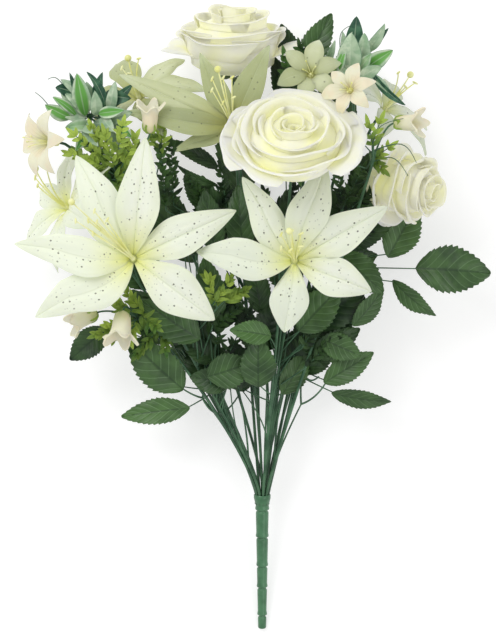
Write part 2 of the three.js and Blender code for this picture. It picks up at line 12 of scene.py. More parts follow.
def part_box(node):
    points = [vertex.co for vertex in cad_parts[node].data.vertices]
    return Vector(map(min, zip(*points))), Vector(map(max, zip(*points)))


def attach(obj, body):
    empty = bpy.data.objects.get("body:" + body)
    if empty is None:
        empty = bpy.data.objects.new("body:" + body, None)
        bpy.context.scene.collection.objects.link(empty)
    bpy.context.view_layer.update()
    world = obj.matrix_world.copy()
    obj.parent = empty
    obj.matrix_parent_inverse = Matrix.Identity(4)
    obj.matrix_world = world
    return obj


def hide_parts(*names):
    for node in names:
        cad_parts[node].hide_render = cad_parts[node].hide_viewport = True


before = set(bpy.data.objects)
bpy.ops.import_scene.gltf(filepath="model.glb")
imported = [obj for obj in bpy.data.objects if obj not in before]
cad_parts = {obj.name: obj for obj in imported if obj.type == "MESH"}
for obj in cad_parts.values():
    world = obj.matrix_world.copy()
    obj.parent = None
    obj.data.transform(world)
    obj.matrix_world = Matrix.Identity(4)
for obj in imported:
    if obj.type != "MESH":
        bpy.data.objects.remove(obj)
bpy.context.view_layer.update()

# ---- the camera, the table and the studio light ---------------------------------
# A long lens over the middle of the bouquet, a plain matt white light table that glows a
# little, one broad soft box at the upper left, a weaker one at the lower right, pale walls.
MM = 0.001
# The plan's own numbers for the handle's middle and low end, which set the plan in its place.
HANDLE_MIDDLE = 11.3
HANDLE_LOW_END = -248.55
handle_low, handle_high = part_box("handle")
PLAN_TO_TABLE = Vector((
    (handle_low.x + handle_high.x) / 2 - HANDLE_MIDDLE * MM, handle_low.y - HANDLE_LOW_END * MM, 0,
))
VIEW_CENTRE = PLAN_TO_TABLE + Vector((0, -1.56 * MM, 0))
VIEW_HEIGHT = 0.4992
BLOOM_PLANE = 0.09
LENS = 250
SENSOR = 36
FARTHEST_SEEN = 20
TABLE_WIDTH = 6
TABLE_WHITE = (0.54, 0.54, 0.54)
TABLE_GLOW = 0.54
ROOM_LIGHT = 0.68
SOFT_BOXES = [
    ("soft_box_left", (-0.9, 1.0, 1.7), 1.1, 18.5),
    ("soft_box_right", (1.1, -0.5, 1.6), 1.2, 7),
]


def feed(socket, value):
    """Gives a socket its value or the output that feeds it; a colour has three numbers."""
    if isinstance(value, bpy.types.NodeSocket):
        socket.id_data.links.new(value, socket)
    else:
        socket.default_value = (*value, 1) if socket.type == "RGBA" else value


def new_finish(name, **sockets):
    """A material and its shader; the shader's sockets are named with underscores."""
    material = bpy.data.materials.new(name)
    material.use_nodes = True
    shader = material.node_tree.nodes["Principled BSDF"]
    for key, value in sockets.items():
        feed(shader.inputs[key.replace("_", " ")], value)
    return material, shader


lens_height = BLOOM_PLANE + VIEW_HEIGHT * LENS / SENSOR
bpy.ops.object.camera_add(location=(VIEW_CENTRE.x, VIEW_CENTRE.y, lens_height), rotation=(0, 0, 0))
camera = bpy.context.object
camera.name = "camera"
camera.data.lens = LENS
camera.data.sensor_width = SENSOR
camera.data.clip_end = FARTHEST_SEEN
bpy.context.scene.camera = camera
bpy.context.scene.view_settings.view_transform = "Standard"

bpy.ops.mesh.primitive_plane_add(size=TABLE_WIDTH, location=(0, 0, 0))
table = bpy.context.object
table.name = "table_top"
table_paint, shader = new_finish(
    "matt_white_table", Base_Color=TABLE_WHITE, Emission_Color=(1, 1, 1),
    Emission_Strength=TABLE_GLOW, Roughness=0.85,
)
table.data.materials.append(table_paint)

room = bpy.data.worlds.new("pale_room")
room.use_nodes = True
walls = room.node_tree.nodes["Background"].inputs
feed(walls["Color"], (1, 1, 1))
feed(walls["Strength"], ROOM_LIGHT)
bpy.context.scene.world = room
for name, spot, width, power in SOFT_BOXES:
    bpy.ops.object.light_add(type="AREA", location=spot)
    soft_box = bpy.context.object
    soft_box.name = name
    soft_box.data.size = width
    soft_box.data.energy = power
    soft_box.rotation_euler = Vector(spot).to_track_quat("Z", "Y").to_euler()

# ---- the moulded handle ----------------------------------------------------------
# One green plastic rod with five joints, each a groove with a raised lip, widened at its
# top into a collar. The stems stand in its sockets. It is moulded, so it has a fine grain.
HANDLE_TIP = Vector((HANDLE_MIDDLE, -248, 2))
HANDLE_TILT = math.radians(13)
HANDLE_LENGTH = 111
HANDLE_RADII = (3.25, 5.4)
HANDLE_JOINTS = (10.4, 33.6, 51.2, 75.2, 97.6)
COLLAR_RADIUS = 6.7
COLLAR_HEIGHT = 9
SOCKET_RINGS = (0, 2.5, 5.05)
AXIS = Vector((0, math.cos(HANDLE_TILT), math.sin(HANDLE_TILT)))
SIDE = Vector((1, 0, 0))
RISE = SIDE.cross(AXIS)
UP = Vector((0, 0, 1))
MOUTH = HANDLE_TIP + AXIS * HANDLE_LENGTH
# Each ring of a joint and of the collar: how much wider than the rod or the collar it is,
# and how far up from the joint or from the handle's top end.
JOINT_RINGS = (
    (0, -2.2), (-.1, -1.2), (-.8, -.2), (-.8, .4), (.35, 1.1), (.5, 2), (.15, 3.6), (.08, 5),
)
COLLAR_RINGS = ((-.35, -4.5), (0, -3), (0, -.5), (-.4, 0), (-1.2, 0), (-1.6, -1.2))
PLAN_FRAME = Matrix.Translation(PLAN_TO_TABLE) @ Matrix.Scale(MM, 4)


def frame_of(x, y, z, origin):
    """The matrix from a piece's own millimetres to the table's metres."""
    turn = Matrix((x, y, z)).transposed().to_4x4()
    return PLAN_FRAME @ (Matrix.Translation(origin) @ turn)


def new_node(tree, kind, inputs=None, **settings):
    """A shader node with its settings, and its inputs fed."""
    node = tree.nodes.new(kind)
    for key, value in settings.items():
        setattr(node, key, value)
    for key, value in (inputs or {}).items():
        feed(node.inputs[key], value)
    return node


def colour_mix(share, low, high):
    inputs = {0: share, 6: low, 7: high}
    return new_node(share.id_data, "ShaderNodeMix", inputs, data_type="RGBA").outputs[2]


def maths(operation, first, second=0.0, clamp=False):
    settings = {"operation": operation, "use_clamp": clamp}
    inputs = {0: first, 1: second}
    return new_node(first.id_data, "ShaderNodeMath", inputs, **settings).outputs[0]


def times(first, second):
    return maths("MULTIPLY", first, second)


def plus(first, second):
    return maths("ADD", first, second)


def ramp(value, low, high, start=0.0, end=1.0):
    """A smooth step from start to end, as the value goes from low to high."""
    limits = {"Value": value, "From Min": low, "From Max": high, "To Min": start, "To Max": end}
    node = new_node(value.id_data, "ShaderNodeMapRange", limits, interpolation_type="SMOOTHSTEP")
    return node.outputs["Result"]


def fade(value, low, high, start=1.0, end=0.0):
    return ramp(value, low, high, start, end)


def cloudy(tree, scale, detail):
    """Cloudy noise in the piece's own place."""
    place = new_node(tree, "ShaderNodeTexCoord").outputs["Object"]
    inputs = {"Vector": place, "Scale": scale, "Detail": detail}
    return new_node(tree, "ShaderNodeTexNoise", inputs).outputs["Fac"]


def new_group(name, inputs, outputs):
    """A shader node group with named sockets: its tree, what comes in, and what goes out."""
    tree = bpy.data.node_groups.new(name, "ShaderNodeTree")
    for socket, kind, value in inputs:
        made = tree.interface.new_socket(name=socket, in_out="INPUT", socket_type=kind)
        made.default_value = value
    for socket, kind in outputs:
        tree.interface.new_socket(name=socket, in_out="OUTPUT", socket_type=kind)
    return tree, tree.nodes.new("NodeGroupInput").outputs, tree.nodes.new("NodeGroupOutput").inputs


def use_group(tree, group, **values):
    """A group at work in another tree: its outputs."""
    return new_node(tree, "ShaderNodeGroup", values, node_tree=group).outputs


def dress(shader, colour, height, strength, distance=0.0003):
    """Gives a finish its colour, and presses the height into its surface."""
    relief = {"Height": height, "Strength": strength, "Distance": distance}
    bump = new_node(shader.id_data, "ShaderNodeBump", relief)
    feed(shader.inputs["Base Color"], colour)
    feed(shader.inputs["Normal"], bump.outputs["Normal"])


# Moulding grain: two sizes of cloudy noise that tint the plastic and dimple its surface.
grain, grain_in, grain_out = new_group(
    "moulding_grain",
    [("Grain Size", "NodeSocketFloat", 900.0), ("Cloud Size", "NodeSocketFloat", 90.0)],
    [("Cloud", "NodeSocketFloat"), ("Height", "NodeSocketFloat")],
)
feed(grain_out["Cloud"], ramp(cloudy(grain, grain_in["Cloud Size"], 3.0), 0.35, 0.65))
feed(grain_out["Height"], cloudy(grain, grain_in["Grain Size"], 2.0))


def moulded_plastic(name, dark, light, roughness, dimples=0.25, **sockets):
    """Moulded plastic between two greens, with the grain in its colour and its surface."""
    material, shader = new_finish(name, Roughness=roughness, **sockets)
    surface = use_group(shader.id_data, grain)
    dress(shader, colour_mix(surface["Cloud"], dark, light), surface["Height"], dimples)
    return material


handle_finish = moulded_plastic(
    "moulded_green_handle", (0.034, 0.125, 0.052), (0.06, 0.185, 0.085), 0.38, Coat_Weight=0.15,
)


def turned(profile, sides):
    """A turned body about +Z from (radius, height) rings, closed at both ends."""
    bpy.ops.object.select_all(action="DESELECT")
    radius, height = profile[0]
    bpy.ops.mesh.primitive_circle_add(
        vertices=sides, radius=radius, fill_type="NGON", location=(0, 0, height),
    )
    bpy.ops.object.mode_set(mode="EDIT")
    bpy.ops.mesh.select_all(action="SELECT")
    for next_radius, next_height in profile[1:]:
        step = (0, 0, next_height - height)
        bpy.ops.mesh.extrude_region_move(TRANSFORM_OT_translate={"value": step})
        scale = next_radius / radius
        bpy.ops.transform.resize(value=(scale, scale, 1), center_override=(0, 0, next_height))
        radius, height = next_radius, next_height
    bpy.ops.mesh.select_all(action="SELECT")
    bpy.ops.mesh.normals_make_consistent(inside=False)
    bpy.ops.object.mode_set(mode="OBJECT")
    return bpy.context.object


def joined(pieces, matrix=Matrix()):
    """Several pieces as one, moved by the matrix, with its object left at the origin."""
    bpy.ops.object.select_all(action="DESELECT")
    for piece in pieces:
        piece.select_set(True)
    bpy.context.view_layer.objects.active = pieces[0]
    if len(pieces) > 1:
        bpy.ops.object.join()
    whole = bpy.context.object
    bpy.ops.object.transform_apply(location=True, rotation=True, scale=True)
    whole.data.transform(matrix)
    return whole


def smoothed(piece, angle=50):
    """The selected piece, shaded smooth but for its edges that are sharper than the angle."""
    bpy.ops.object.shade_smooth_by_angle(angle=math.radians(angle))
    return piece


def finish_piece(piece, name, material, slot, *nodes):
    """Names a piece, dresses it, and hangs it on the bouquet in the place of its CAD nodes."""
    piece.name = name
    piece.data.name = name
    piece.data.materials.clear()
    piece.data.materials.append(material)
    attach(piece, "root")
    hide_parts(*nodes)


def handle_radius(along):
    return HANDLE_RADII[0] + (HANDLE_RADII[1] - HANDLE_RADII[0]) * along / HANDLE_LENGTH


collar_start = HANDLE_LENGTH - COLLAR_HEIGHT
handle_profile = [
    (HANDLE_RADII[0] - 1, 0), (handle_radius(0) - 0.35, 0.3), (handle_radius(0), 1.2),
    *((handle_radius(at) + out, at + up) for at in HANDLE_JOINTS for out, up in JOINT_RINGS),
    (handle_radius(collar_start), collar_start),
    *((COLLAR_RADIUS + out, HANDLE_LENGTH + up) for out, up in COLLAR_RINGS),
]
handle = joined([turned(handle_profile, 40)], frame_of(SIDE, -RISE, AXIS, HANDLE_TIP))
finish_piece(smoothed(handle), "handle_moulding", handle_finish, "handle_plastic", "handle")

# ---- the wires of the stems --------------------------------------------------------
# Plastic-covered wires: each leaves its socket straight and bends round to meet its
# bloom from behind. The leaves' own stalks branch off them.
STEM_RADIUS = 1.15
STALK_RADIUS = 0.62
TWIG_RADII = (0.85, 0.6)
LOW_STALK_START = 0.16
SHOULDER_GAP = 0.45
ROOT_DEPTH = 9

ROSES = [
    dict(name="rose_centre", socket=(2, 82), base=(34, 121, 133), facing=(.03, .73, .68)),
    dict(name="rose_top", socket=(1, 210), base=(-12, 193, 57), facing=(0, .97, .25)),
    dict(name="rose_right", socket=(2, 343), base=(98, 108, 70), facing=(.84, -.18, .49)),
]


def lily_petals(azimuths, lengths, widths, straight=0.4):
    """Petals by the azimuths of their tips; every second one is an inner petal. The less
    straight they are, the more they bend round from their even places in the throat."""
    return [
        dict(
            azimuth=azimuth, root=straight * azimuth + (1 - straight) * (azimuths[0] + 60 * k),
            length=length, width=width, outer=k % 2 == 0,
        )
        for k, (azimuth, length, width) in enumerate(zip(azimuths, lengths, widths))
    ]


def star(length, width, turn=0):
    return lily_petals([turn + 60 * k for k in range(6)], [length] * 6, [0.85 * width, width] * 3)


LILIES = [
    dict(
        name="lily_left", socket=(2, 114), base=(-89, 46, 112), facing=(0, 0, 1), lean=(-42, 39),
        petals=lily_petals(
            (25, 84, 119, 173, 211, 323), (88, 94, 91, 92, 88, 79), (36, 37, 39, 33, 39, 46),
        ),
    ),
    dict(
        name="lily_front", socket=(1, 66), base=(36, 44.5, 112), facing=(0, 0, 1), lean=(-4, 20),
        petals=lily_petals(
            (30, 72, 122, 175, 262, 338), (83, 78, 76, 76, 56, 64), (36, 38, 30, 37, 43, 40),
        ),
    ),
    dict(
        name="lily_upper", socket=(0, 0), base=(-10.5, 150, 92), facing=(-.1, 0, 1), lean=(-8, 38),
        petals=lily_petals(
            (66, 115, 156, 173, 203, 300), (68, 62, 98, 86, 52, 44), (25, 20, 22, 20, 13, 24), 0.85,
        ),
    ),
    dict(
        name="lily_back_left", socket=(2, 278), base=(-84, 168, 56), facing=(-.25, .75, .6),
        lean=(0, 8), petals=star(56, 31, 50), filaments=3,
    ),
    dict(
        name="lily_far_left", socket=(2, 213), base=(-136, 84, 72), facing=(-.75, .35, .55),
        lean=(0, 20), petals=star(54, 28, 15), filaments=3,
    ),
    dict(
        name="lily_right", socket=(2, 311), base=(104, 160, 44), facing=(.6, .68, .42),
        lean=(0, 8), petals=star(50, 26, 24), filaments=3,
    ),
]
TRUMPETS = [
    dict(
        name="trumpet_left", socket=(2, 180), base=(-148, 137, 92), facing=(-.8, 0, .6),
        petals=star(30, 18, 8),
    ),
    dict(
        name="trumpet_right", socket=(2, 16), base=(81, 175, 106), facing=(-.25, .2, .9),
        petals=star(23, 14, 10),
    ),
    dict(
        name="trumpet_back", socket=(1, 354), base=(50, 188, 82), facing=(-.1, .25, .95),
        petals=star(29, 19, 18),
    ),
]

# Each leaf: the share of its stem's length where its stalk starts, base, tip and width, and
# after them its turn about its length and its arch, where they aren't the usual ones.
LEAVES = {
    "rose_centre": [
        (.44, (18, -14, 86), (-14, -9, 94), 20, 8), (.3, (8, -54, 70), (8, -14, 86), 30),
    ],
    "rose_right": [
        (.7, (110, 48, 56), (133, 90, 44), 31, 6), (.68, (132, 39, 62), (191, 35, 58), 40, -8),
        (.66, (114, 30, 62), (148, 2, 60), 18, 35), (.38, (60, -51, 52), (99, -27, 56), 22),
        (.36, (66, -59, 50), (113, -66, 46), 16, 20),
    ],
    "lily_far_left": [
        (.34, (-51, -56, 56), (-94, -15, 72), 36, -12),
        (.32, (-46, -71, 50), (-100, -78, 44), 22, 8),
    ],
    "lily_left": [
        (.38, (-32, -46, 68), (4, -34, 72), 30, 10), (.5, (-38, -17, 74), (-84, 14, 78), 31),
        (.5, (-24, 0, 72), (-34, 48, 84), 26, -10),
    ],
    "lily_front": [
        (.56, (40, -10, 80), (72, 24, 88), 32, -6), (.38, (27, -60, 50), (46, -26, 50), 22, 12),
    ],
    "lily_upper": [(.6, (-26, 53, 76), (-34, 100, 84), 25), (.6, (-4, 49, 76), (-8, 104, 80), 25)],
    "rose_top": [
        (.7, (-24, 118, 62), (-66, 140, 74), 13, 10, .16),
        (.62, (-4, 95, 34), (-14, 178, 0), 36, 6, -.05),
    ],
    "trumpet_right": [
        (.4, (57, -16, 66), (89, -30, 64), 22), (.44, (82, -6, 68), (106, 24, 66), 18, 25),
        (.5, (72, 50, 76), (106, 20, 78), 28),
    ],
    "trumpet_back": [
        (.84, (42, 194, 50), (66, 240, 54), 24), (.8, (62, 120, 60), (84, 168, 70), 24),
    ],
    "trumpet_left": [(.5, (-76, 24, 42), (-116, 58, 34), 32, 8)],
    "lily_back_left": [
        (.5, (-41, 45, 31), (-98, 118, -1), 42, -6, -.04), (.4, (-30, 0, 30), (-64, -44, 18), 26),
    ],
    "lily_right": [
        (.5, (52, 40, 30), (114, 104, -1), 42, 6, -.04), (.42, (46, -8, 30), (82, -36, 22), 26),
    ],
}

# The darker leaves low in the bunch, which close the gaps between the blooms; their darker green is
# painted shade.
LOW_LEAVES = {
    "lily_front": [
        (.5, (40, -22, 52), (70, 20, 56), 34, 6), (.42, (30, -46, 44), (44, -6, 50), 30, -8, .06),
        (.62, (38, 22, 62), (16, 58, 70), 30), (.6, (48, -6, 58), (92, 24, 66), 34),
        (.5, (10, 4, 60), (2, 44, 66), 22, 12, .1), (.46, (14, -30, 56), (-10, 14, 62), 22, -14),
    ],
    "trumpet_right": [
        (.45, (62, -8, 46), (90, 28, 50), 34, 8, .06),
        (.62, (66, 52, 58), (82, 102, 64), 34, 0, .06),
        (.56, (58, 24, 54), (84, 66, 58), 32, 10, .06),
        (.38, (44, -44, 44), (66, -14, 48), 28, -14, .06), (.5, (72, 56, 58), (120, 88, 60), 28),
        (.42, (50, -30, 60), (88, -8, 62), 22, 10), (.55, (70, 60, 62), (106, 66, 62), 20, 10),
        (.6, (60, 84, 70), (92, 100, 72), 22, -10, .1), (.5, (64, 40, 58), (102, 50, 52), 22),
        (.6, (56, 70, 62), (56, 110, 66), 22),
    ],
    "lily_upper": [
        (.5, (-20, 58, 62), (-36, 112, 70), 26, -10), (.46, (-4, 54, 60), (-20, 108, 66), 26, 8),
        (.5, (10, 52, 58), (-2, 104, 62), 26), (.62, (-24, 104, 72), (-56, 120, 80), 7, -25, .16),
        (.5, (-30, 84, 66), (-50, 112, 72), 18),
    ],
    "lily_left": [
        (.44, (-34, -20, 52), (-72, 8, 56), 36, 0, .06),
        (.5, (-40, 50, 60), (-58, 88, 64), 28, 0, .06),
        (.4, (-24, -8, 56), (-14, 30, 60), 30, 10, .06),
        (.52, (-52, 84, 70), (-70, 101, 78), 12, 0, .12),
        (.36, (-26, -34, 58), (-52, -18, 60), 20, 14),
        (.34, (-14, -52, 60), (-46, -46, 60), 22, 0, .06),
    ],
    "lily_far_left": [
        (.3, (-28, -52, 42), (-40, -10, 48), 36, 0, .06),
        (.42, (-60, -20, 48), (-92, 22, 52), 34, 0, .06),
    ],
    "rose_centre": [
        (.28, (-4, -58, 44), (-12, -18, 50), 30, 6, .06),
        (.4, (12, -26, 54), (22, 14, 60), 30, 0, .06), (.62, (34, 52, 82), (30, 100, 88), 26),
        (.6, (46, 56, 80), (56, 96, 86), 24, 10), (.6, (24, 50, 80), (12, 96, 84), 22, -10),
        (.5, (30, 40, 74), (38, 76, 80), 26, 0, .1),
    ],
    "trumpet_left": [(.52, (-112, -8, 58), (-140, -33, 56), 24)],
    "trumpet_back": [
        (.82, (38, 196, 46), (26, 232, 50), 18), (.7, (40, 110, 50), (64, 152, 56), 30, 0, .06),
        (.8, (26, 170, 54), (44, 208, 60), 22), (.8, (34, 160, 52), (20, 206, 52), 20, 10),
        (.78, (70, 160, 56), (60, 206, 60), 22),
    ],
    "lily_right": [(.6, (84, 92, 46), (104, 134, 50), 28, 0, .06)],
}

# Thin side twigs low in the bunch, with their forks: the stem, then the share of its length
# or the point where the twig starts, the point that it bends round, and its end.
TWIGS = {
    "lily_far_left": [
        (.06, (-14, -90, 38), (-36, -63, 46)), ((-36, -63, 46), (-42, -62, 50), (-51, -56, 56)),
        ((-36, -63, 46), (-24, -88, 44), (-8, -62, 46)),
        ((-36, -63, 46), (-34, -56, 48), (-36, -44, 52)),
    ],
    "lily_left": [(.06, (-6, -94, 40), (-24, -52, 50))],
    "trumpet_left": [(.06, (2, -98, 40), (-10, -44, 48))],
    "lily_upper": [(.06, (9, -98, 42), (4, -38, 52))],
    "rose_centre": [(.06, (13, -98, 42), (16, -38, 52))],
    "trumpet_right": [(.06, (20, -98, 42), (29, -40, 52))],
    "rose_right": [
        (.06, (25, -102, 40), (42, -68, 46)), ((42, -68, 46), (54, -64, 48), (62, -50, 50)),
        ((42, -68, 46), (41, -56, 48), (43, -38, 50)),
        ((43, -42, 50), (48, -54, 50), (56, -46, 50)),
    ],
}


def bloom_axes(facing):
    """The axes of a bloom: +Z is the way it faces, and +X is level with the table."""
    z = Vector(facing).normalized()
    x = (SIDE - z * z.x).normalized()
    return x, z.cross(x), z


def bloom_frame(plan):
    return frame_of(*bloom_axes(plan["facing"]), Vector(plan["base"]))


def stem_corners(plan, reach=45):
    """The four control points of a stem's curve, in plan millimetres."""
    ring, azimuth = plan["socket"]
    out = SIDE * math.cos(math.radians(azimuth)) + RISE * math.sin(math.radians(azimuth))
    mouth = MOUTH + out * SOCKET_RINGS[ring]
    front = Vector(plan["facing"]).normalized()
    end = Vector(plan["base"]) - front * SHOULDER_GAP
    return mouth + AXIS, mouth + AXIS * 30 + out * 3 * ring, end - front * reach, end


def on_curve(corners, t):
    a, b, c, d = corners
    s = 1 - t
    return a * s ** 3 + b * (3 * s * s * t) + c * (3 * s * t * t) + d * t ** 3


def along_curve(corners, share, steps=200):
    """The point at a share of a curve's length."""
    points = [on_curve(corners, k / steps) for k in range(steps + 1)]
    runs = np.cumsum([0] + [(b - a).length for a, b in zip(points, points[1:])])
    return on_curve(corners, float(np.interp(share * runs[-1], runs, np.arange(steps + 1))) / steps)


def wire(corners, radius, tip_radius=None, steps=24, roundness=3):
    """A round wire along one smooth curve, closed at both ends, in plan millimetres."""
    bpy.ops.object.select_all(action="DESELECT")
    bpy.ops.curve.primitive_bezier_curve_add()
    piece = bpy.context.object
    curve = piece.data
    a, b, c, d = corners
    start, end = curve.splines[0].bezier_points
    for point in (start, end):
        point.handle_left_type = point.handle_right_type = "FREE"
    start.co, start.handle_right, start.handle_left = a, b, a * 2 - b
    end.co, end.handle_left, end.handle_right = d, c, d * 2 - c
    start.radius, end.radius = 1, (tip_radius or radius) / radius
    curve.resolution_u = steps
    curve.bevel_depth = radius
    curve.bevel_resolution = roundness
    curve.use_fill_caps = True
    bpy.ops.object.convert(target="MESH")
    return bpy.context.object


def bend_of(foot, over, end):
    """A curve's control points from one bend between its ends."""
    return foot, foot.lerp(over, 2 / 3), end.lerp(over, 2 / 3), end


def stalk(foot, over, end, radius=STALK_RADIUS, tip_radius=0.45, steps=14):
    """A thin wire with one bend between its ends."""
    return wire(bend_of(foot, over, end), radius, tip_radius, steps, 2)


def halfway(foot, end, lift):
    """The middle between two points, lifted a little."""
    return foot.lerp(end, 0.5) + UP * lift


def stem_wires(corners):
    """A stem's wire, and the end of it that stands in its socket."""
    mouth = corners[0]
    root = mouth - AXIS * ROOT_DEPTH
    in_socket = (root, root, mouth, mouth)
    return [wire(corners, STEM_RADIUS), wire(in_socket, STEM_RADIUS * 0.8, steps=1)]


wire_finish = moulded_plastic(
    "green_wire_coating", (0.02, 0.075, 0.032), (0.06, 0.15, 0.072), 0.42, dimples=0.12,
)
stem_shapes = {}
for plan in ROSES + LILIES + TRUMPETS:
    name = plan["name"]
    corners = stem_shapes[name] = stem_corners(plan)
    wires = stem_wires(corners)
    low = LOW_LEAVES.get(name, [])
    for share, base, tip, *_ in LEAVES[name] + low:
        foot, base = along_curve(corners, share), Vector(base)
        inside = base + (Vector(tip) - base) * 0.06
        wires.append(stalk(foot, halfway(foot, base, 3), inside, steps=10))
    for share, base, *_ in low:
        foot, over = along_curve(corners, LOW_STALK_START), along_curve(corners, share * .8)
        over += SIDE * math.copysign(3, base[0] - over.x)
        wires.append(stalk(foot, over, Vector(base)))
    for start, over, end in TWIGS.get(name, []):
        start = along_curve(corners, start) if isinstance(start, float) else Vector(start)
        wires.append(stalk(start, Vector(over), Vector(end), *TWIG_RADII))
    piece = smoothed(joined(wires, PLAN_FRAME))
    finish_piece(piece, f"stem_{name}_wires", wire_finish, "handle_plastic", f"stem_{name}")

# ---- the leaves ----------------------------------------------------------------------
# Serrated rose leaves of printed cloth with a light varnish: quilted between their side
# veins, creased along the midrib and fastened by their stalks to the stems' wires.
LEAF_THICKNESS = 0.5
LEAF_TEETH = 13
LEAF_VEINS = 7
TABLE_GAP = 0.4
WHOLE_WAVE = 6.3
SEPALS = 5
# Painted shade: the leaves on these stems and all the low leaves take their luck from the darker
# range, for the shade deep in the bunch and under the blooms. The other leaves take it from the
# lighter range.
STEMS_WITH_SHADE_PAINTED_LEAVES = ("lily_upper", "rose_top")
PAINTED_SHADE_LUCK = (0, 0.3)
LIGHT_LUCK = (0.35, 1)


def cloth_blank(name, rows, columns):
    """A flat sheet to cut petals and leaves from: v across it from -1 to 1, u along it."""
    bpy.ops.object.select_all(action="DESELECT")
    bpy.ops.mesh.primitive_grid_add(x_subdivisions=columns, y_subdivisions=rows, size=2)
    blank = bpy.context.object
    blank.name = name
    corners = np.empty(len(blank.data.vertices) * 3)
    blank.data.vertices.foreach_get("co", corners)
    blank["spots"] = corners.tolist()
    return blank


def note(piece, name, values):
    """Writes three numbers for each point of a piece into an attribute."""
    attribute = piece.data.attributes.new(name, "FLOAT_VECTOR", "POINT")
    attribute.data.foreach_set("vector", np.array(values, np.float32).ravel())


def cut(blank, surface, luck, deep=0.0):
    """A copy of the blank pressed onto surface(u, v). It carries v, u and its own luck in
    the attribute run, and its real measures across and along it in the attribute cloth."""
    spots = np.array(blank["spots"]).reshape(-1, 3)
    v, u = spots[:, 0], np.clip((spots[:, 1] + 1) / 2, 0, 1)
    points, across, along = surface(u, v)
    piece = bpy.data.objects.new(blank.name, blank.data.copy())
    bpy.context.collection.objects.link(piece)
    piece.data.vertices.foreach_set("co", np.stack(points, 1).ravel())
    note(piece, "run", np.stack((v, u, np.full_like(u, luck)), 1))
    note(piece, "cloth", np.stack((across, along, np.full_like(u, deep)), 1))
    return piece


def sewn(pieces, thickness, matrix):
    """Sheets joined into one piece, given their thickness, smooth but for their edges."""
    whole = joined(pieces, matrix)
    wall = whole.modifiers.new("wall", "SOLIDIFY")
    wall.thickness = thickness * MM
    wall.offset = 0
    bpy.ops.object.modifier_apply(modifier="wall")
    return smoothed(whole)


leaf_blank = cloth_blank("leaf_blank", 4 * LEAF_TEETH, 12)


def leaf_surface(
    base, tip, width, roll=0, arch=.08, fold=.2, teeth=LEAF_TEETH, luck=0.0, lowest=-math.inf,
):
    """A leaf from its base to its tip; no point of it goes below its lowest height."""
    root = np.array(base, float)
    along = np.array(tip, float) - root
    length = np.linalg.norm(along)
    heading = Vector(along).normalized()
    side = heading.cross(UP).normalized()
    side.rotate(Matrix.Rotation(math.radians(roll), 3, heading))
    normal = np.array(side.cross(heading).normalized())
    side = np.array(side)

    def surface(u, v):
        edge = np.abs(v)
        outline = 0.6 * (1 - u) + (width / 2) * np.sin(np.pi * u ** .85) ** .8
        saw = (u * teeth) % 1
        half = outline * (1 - 0.13 * (1 - saw) * edge ** 5)
        lift = arch * length * 4 * u * (1 - u) + fold * half * edge
        vein = (u + 0.02 - 0.3 * edge) * LEAF_VEINS
        quilt = np.abs(np.sin(np.pi * vein)) * np.minimum(1, 4 * edge) * (1 - edge ** 4)
        lift = lift + 0.028 * width * quilt * np.sin(np.pi * u) ** 0.5
        lift = lift + 0.05 * width * np.sin(WHOLE_WAVE * (1.3 * u + luck)) * v * edge
        lift = lift + 0.02 * width * np.sin(WHOLE_WAVE * (3.1 * u + 2 * luck)) * edge ** 3
        ahead = u + 0.012 * saw * edge ** 5
        spot = (
            root[:, None] + along[:, None] * ahead + side[:, None] * (v * half)
            + normal[:, None] * lift
        )
        spot[2] = np.maximum(spot[2], lowest)
        return spot, v * half, u * length

    return surface


def point_data(tree, name):
    return new_node(tree, "ShaderNodeAttribute", attribute_name=name).outputs["Vector"]


def shares_of(tree, name):
    """The three numbers that an attribute holds for each point."""
    return new_node(tree, "ShaderNodeSeparateXYZ", {0: point_data(tree, name)}).outputs


# Leaf print: a dark midrib, pale side veins and mottled green, lighter on the leaves of higher
# luck. The pale side veins are partly printed veins and partly painted highlight.
leaf_print, print_in, print_out = new_group(
    "leaf_print",
    [
        ("Dark", "NodeSocketColor", (0.01, 0.05, 0.018, 1)),
        ("Light", "NodeSocketColor", (0.05, 0.15, 0.045, 1)),
        ("Vein", "NodeSocketColor", (0.12, 0.25, 0.1, 1)),
        ("Vein Count", "NodeSocketFloat", float(LEAF_VEINS)),
    ],
    [("Color", "NodeSocketColor"), ("Height", "NodeSocketFloat")],
)
across, along, luck = shares_of(leaf_print, "run")
edge = maths("ABSOLUTE", across)
phase = maths("SUBTRACT", plus(along, 0.02), times(edge, 0.3))
wave = maths("SINE", times(times(phase, print_in["Vein Count"]), math.pi))
wave = maths("ABSOLUTE", wave)
# Painted highlight: the pale side veins also stand in for glossy highlights along them, and are
# stronger on the lighter leaves.
side_vein_and_highlight = times(fade(wave, 0.0, 0.3), fade(edge, 0.75, 1.0))
patch = times(ramp(cloudy(leaf_print, 60.0, 4.0), 0.3, 0.7), 0.45)
patch = maths("SUBTRACT", plus(patch, times(luck, 0.75)), 0.1, clamp=True)
vein_and_highlight_share = plus(times(luck, 0.42), 0.06)
green = colour_mix(patch, print_in["Dark"], print_in["Light"])
green = colour_mix(times(side_vein_and_highlight, vein_and_highlight_share), green, print_in["Vein"])
green = colour_mix(fade(edge, 0.02, 0.09, 0.5), green, print_in["Dark"])
feed(print_out["Color"], green)
weave = times(cloudy(leaf_print, 1500.0, 1.0), 0.25)
feed(print_out["Height"], plus(times(wave, 0.6), weave))


def leaf_cloth(name, dark, light, vein, coat=0.08):
    material, shader = new_finish(
        name, Roughness=0.45, Coat_Weight=coat, Coat_Roughness=0.3, Specular_IOR_Level=0.3,
    )
    print_node = use_group(shader.id_data, leaf_print, Dark=dark, Light=light, Vein=vein)
    dress(shader, print_node["Color"], print_node["Height"], 0.7, 0.0006)
    return material


rose_leaf_finish = leaf_cloth(
    "varnished_rose_leaf", (0.008, 0.028, 0.009), (0.076, 0.165, 0.044), (0.22, 0.37, 0.18),
    coat=0.16,
)


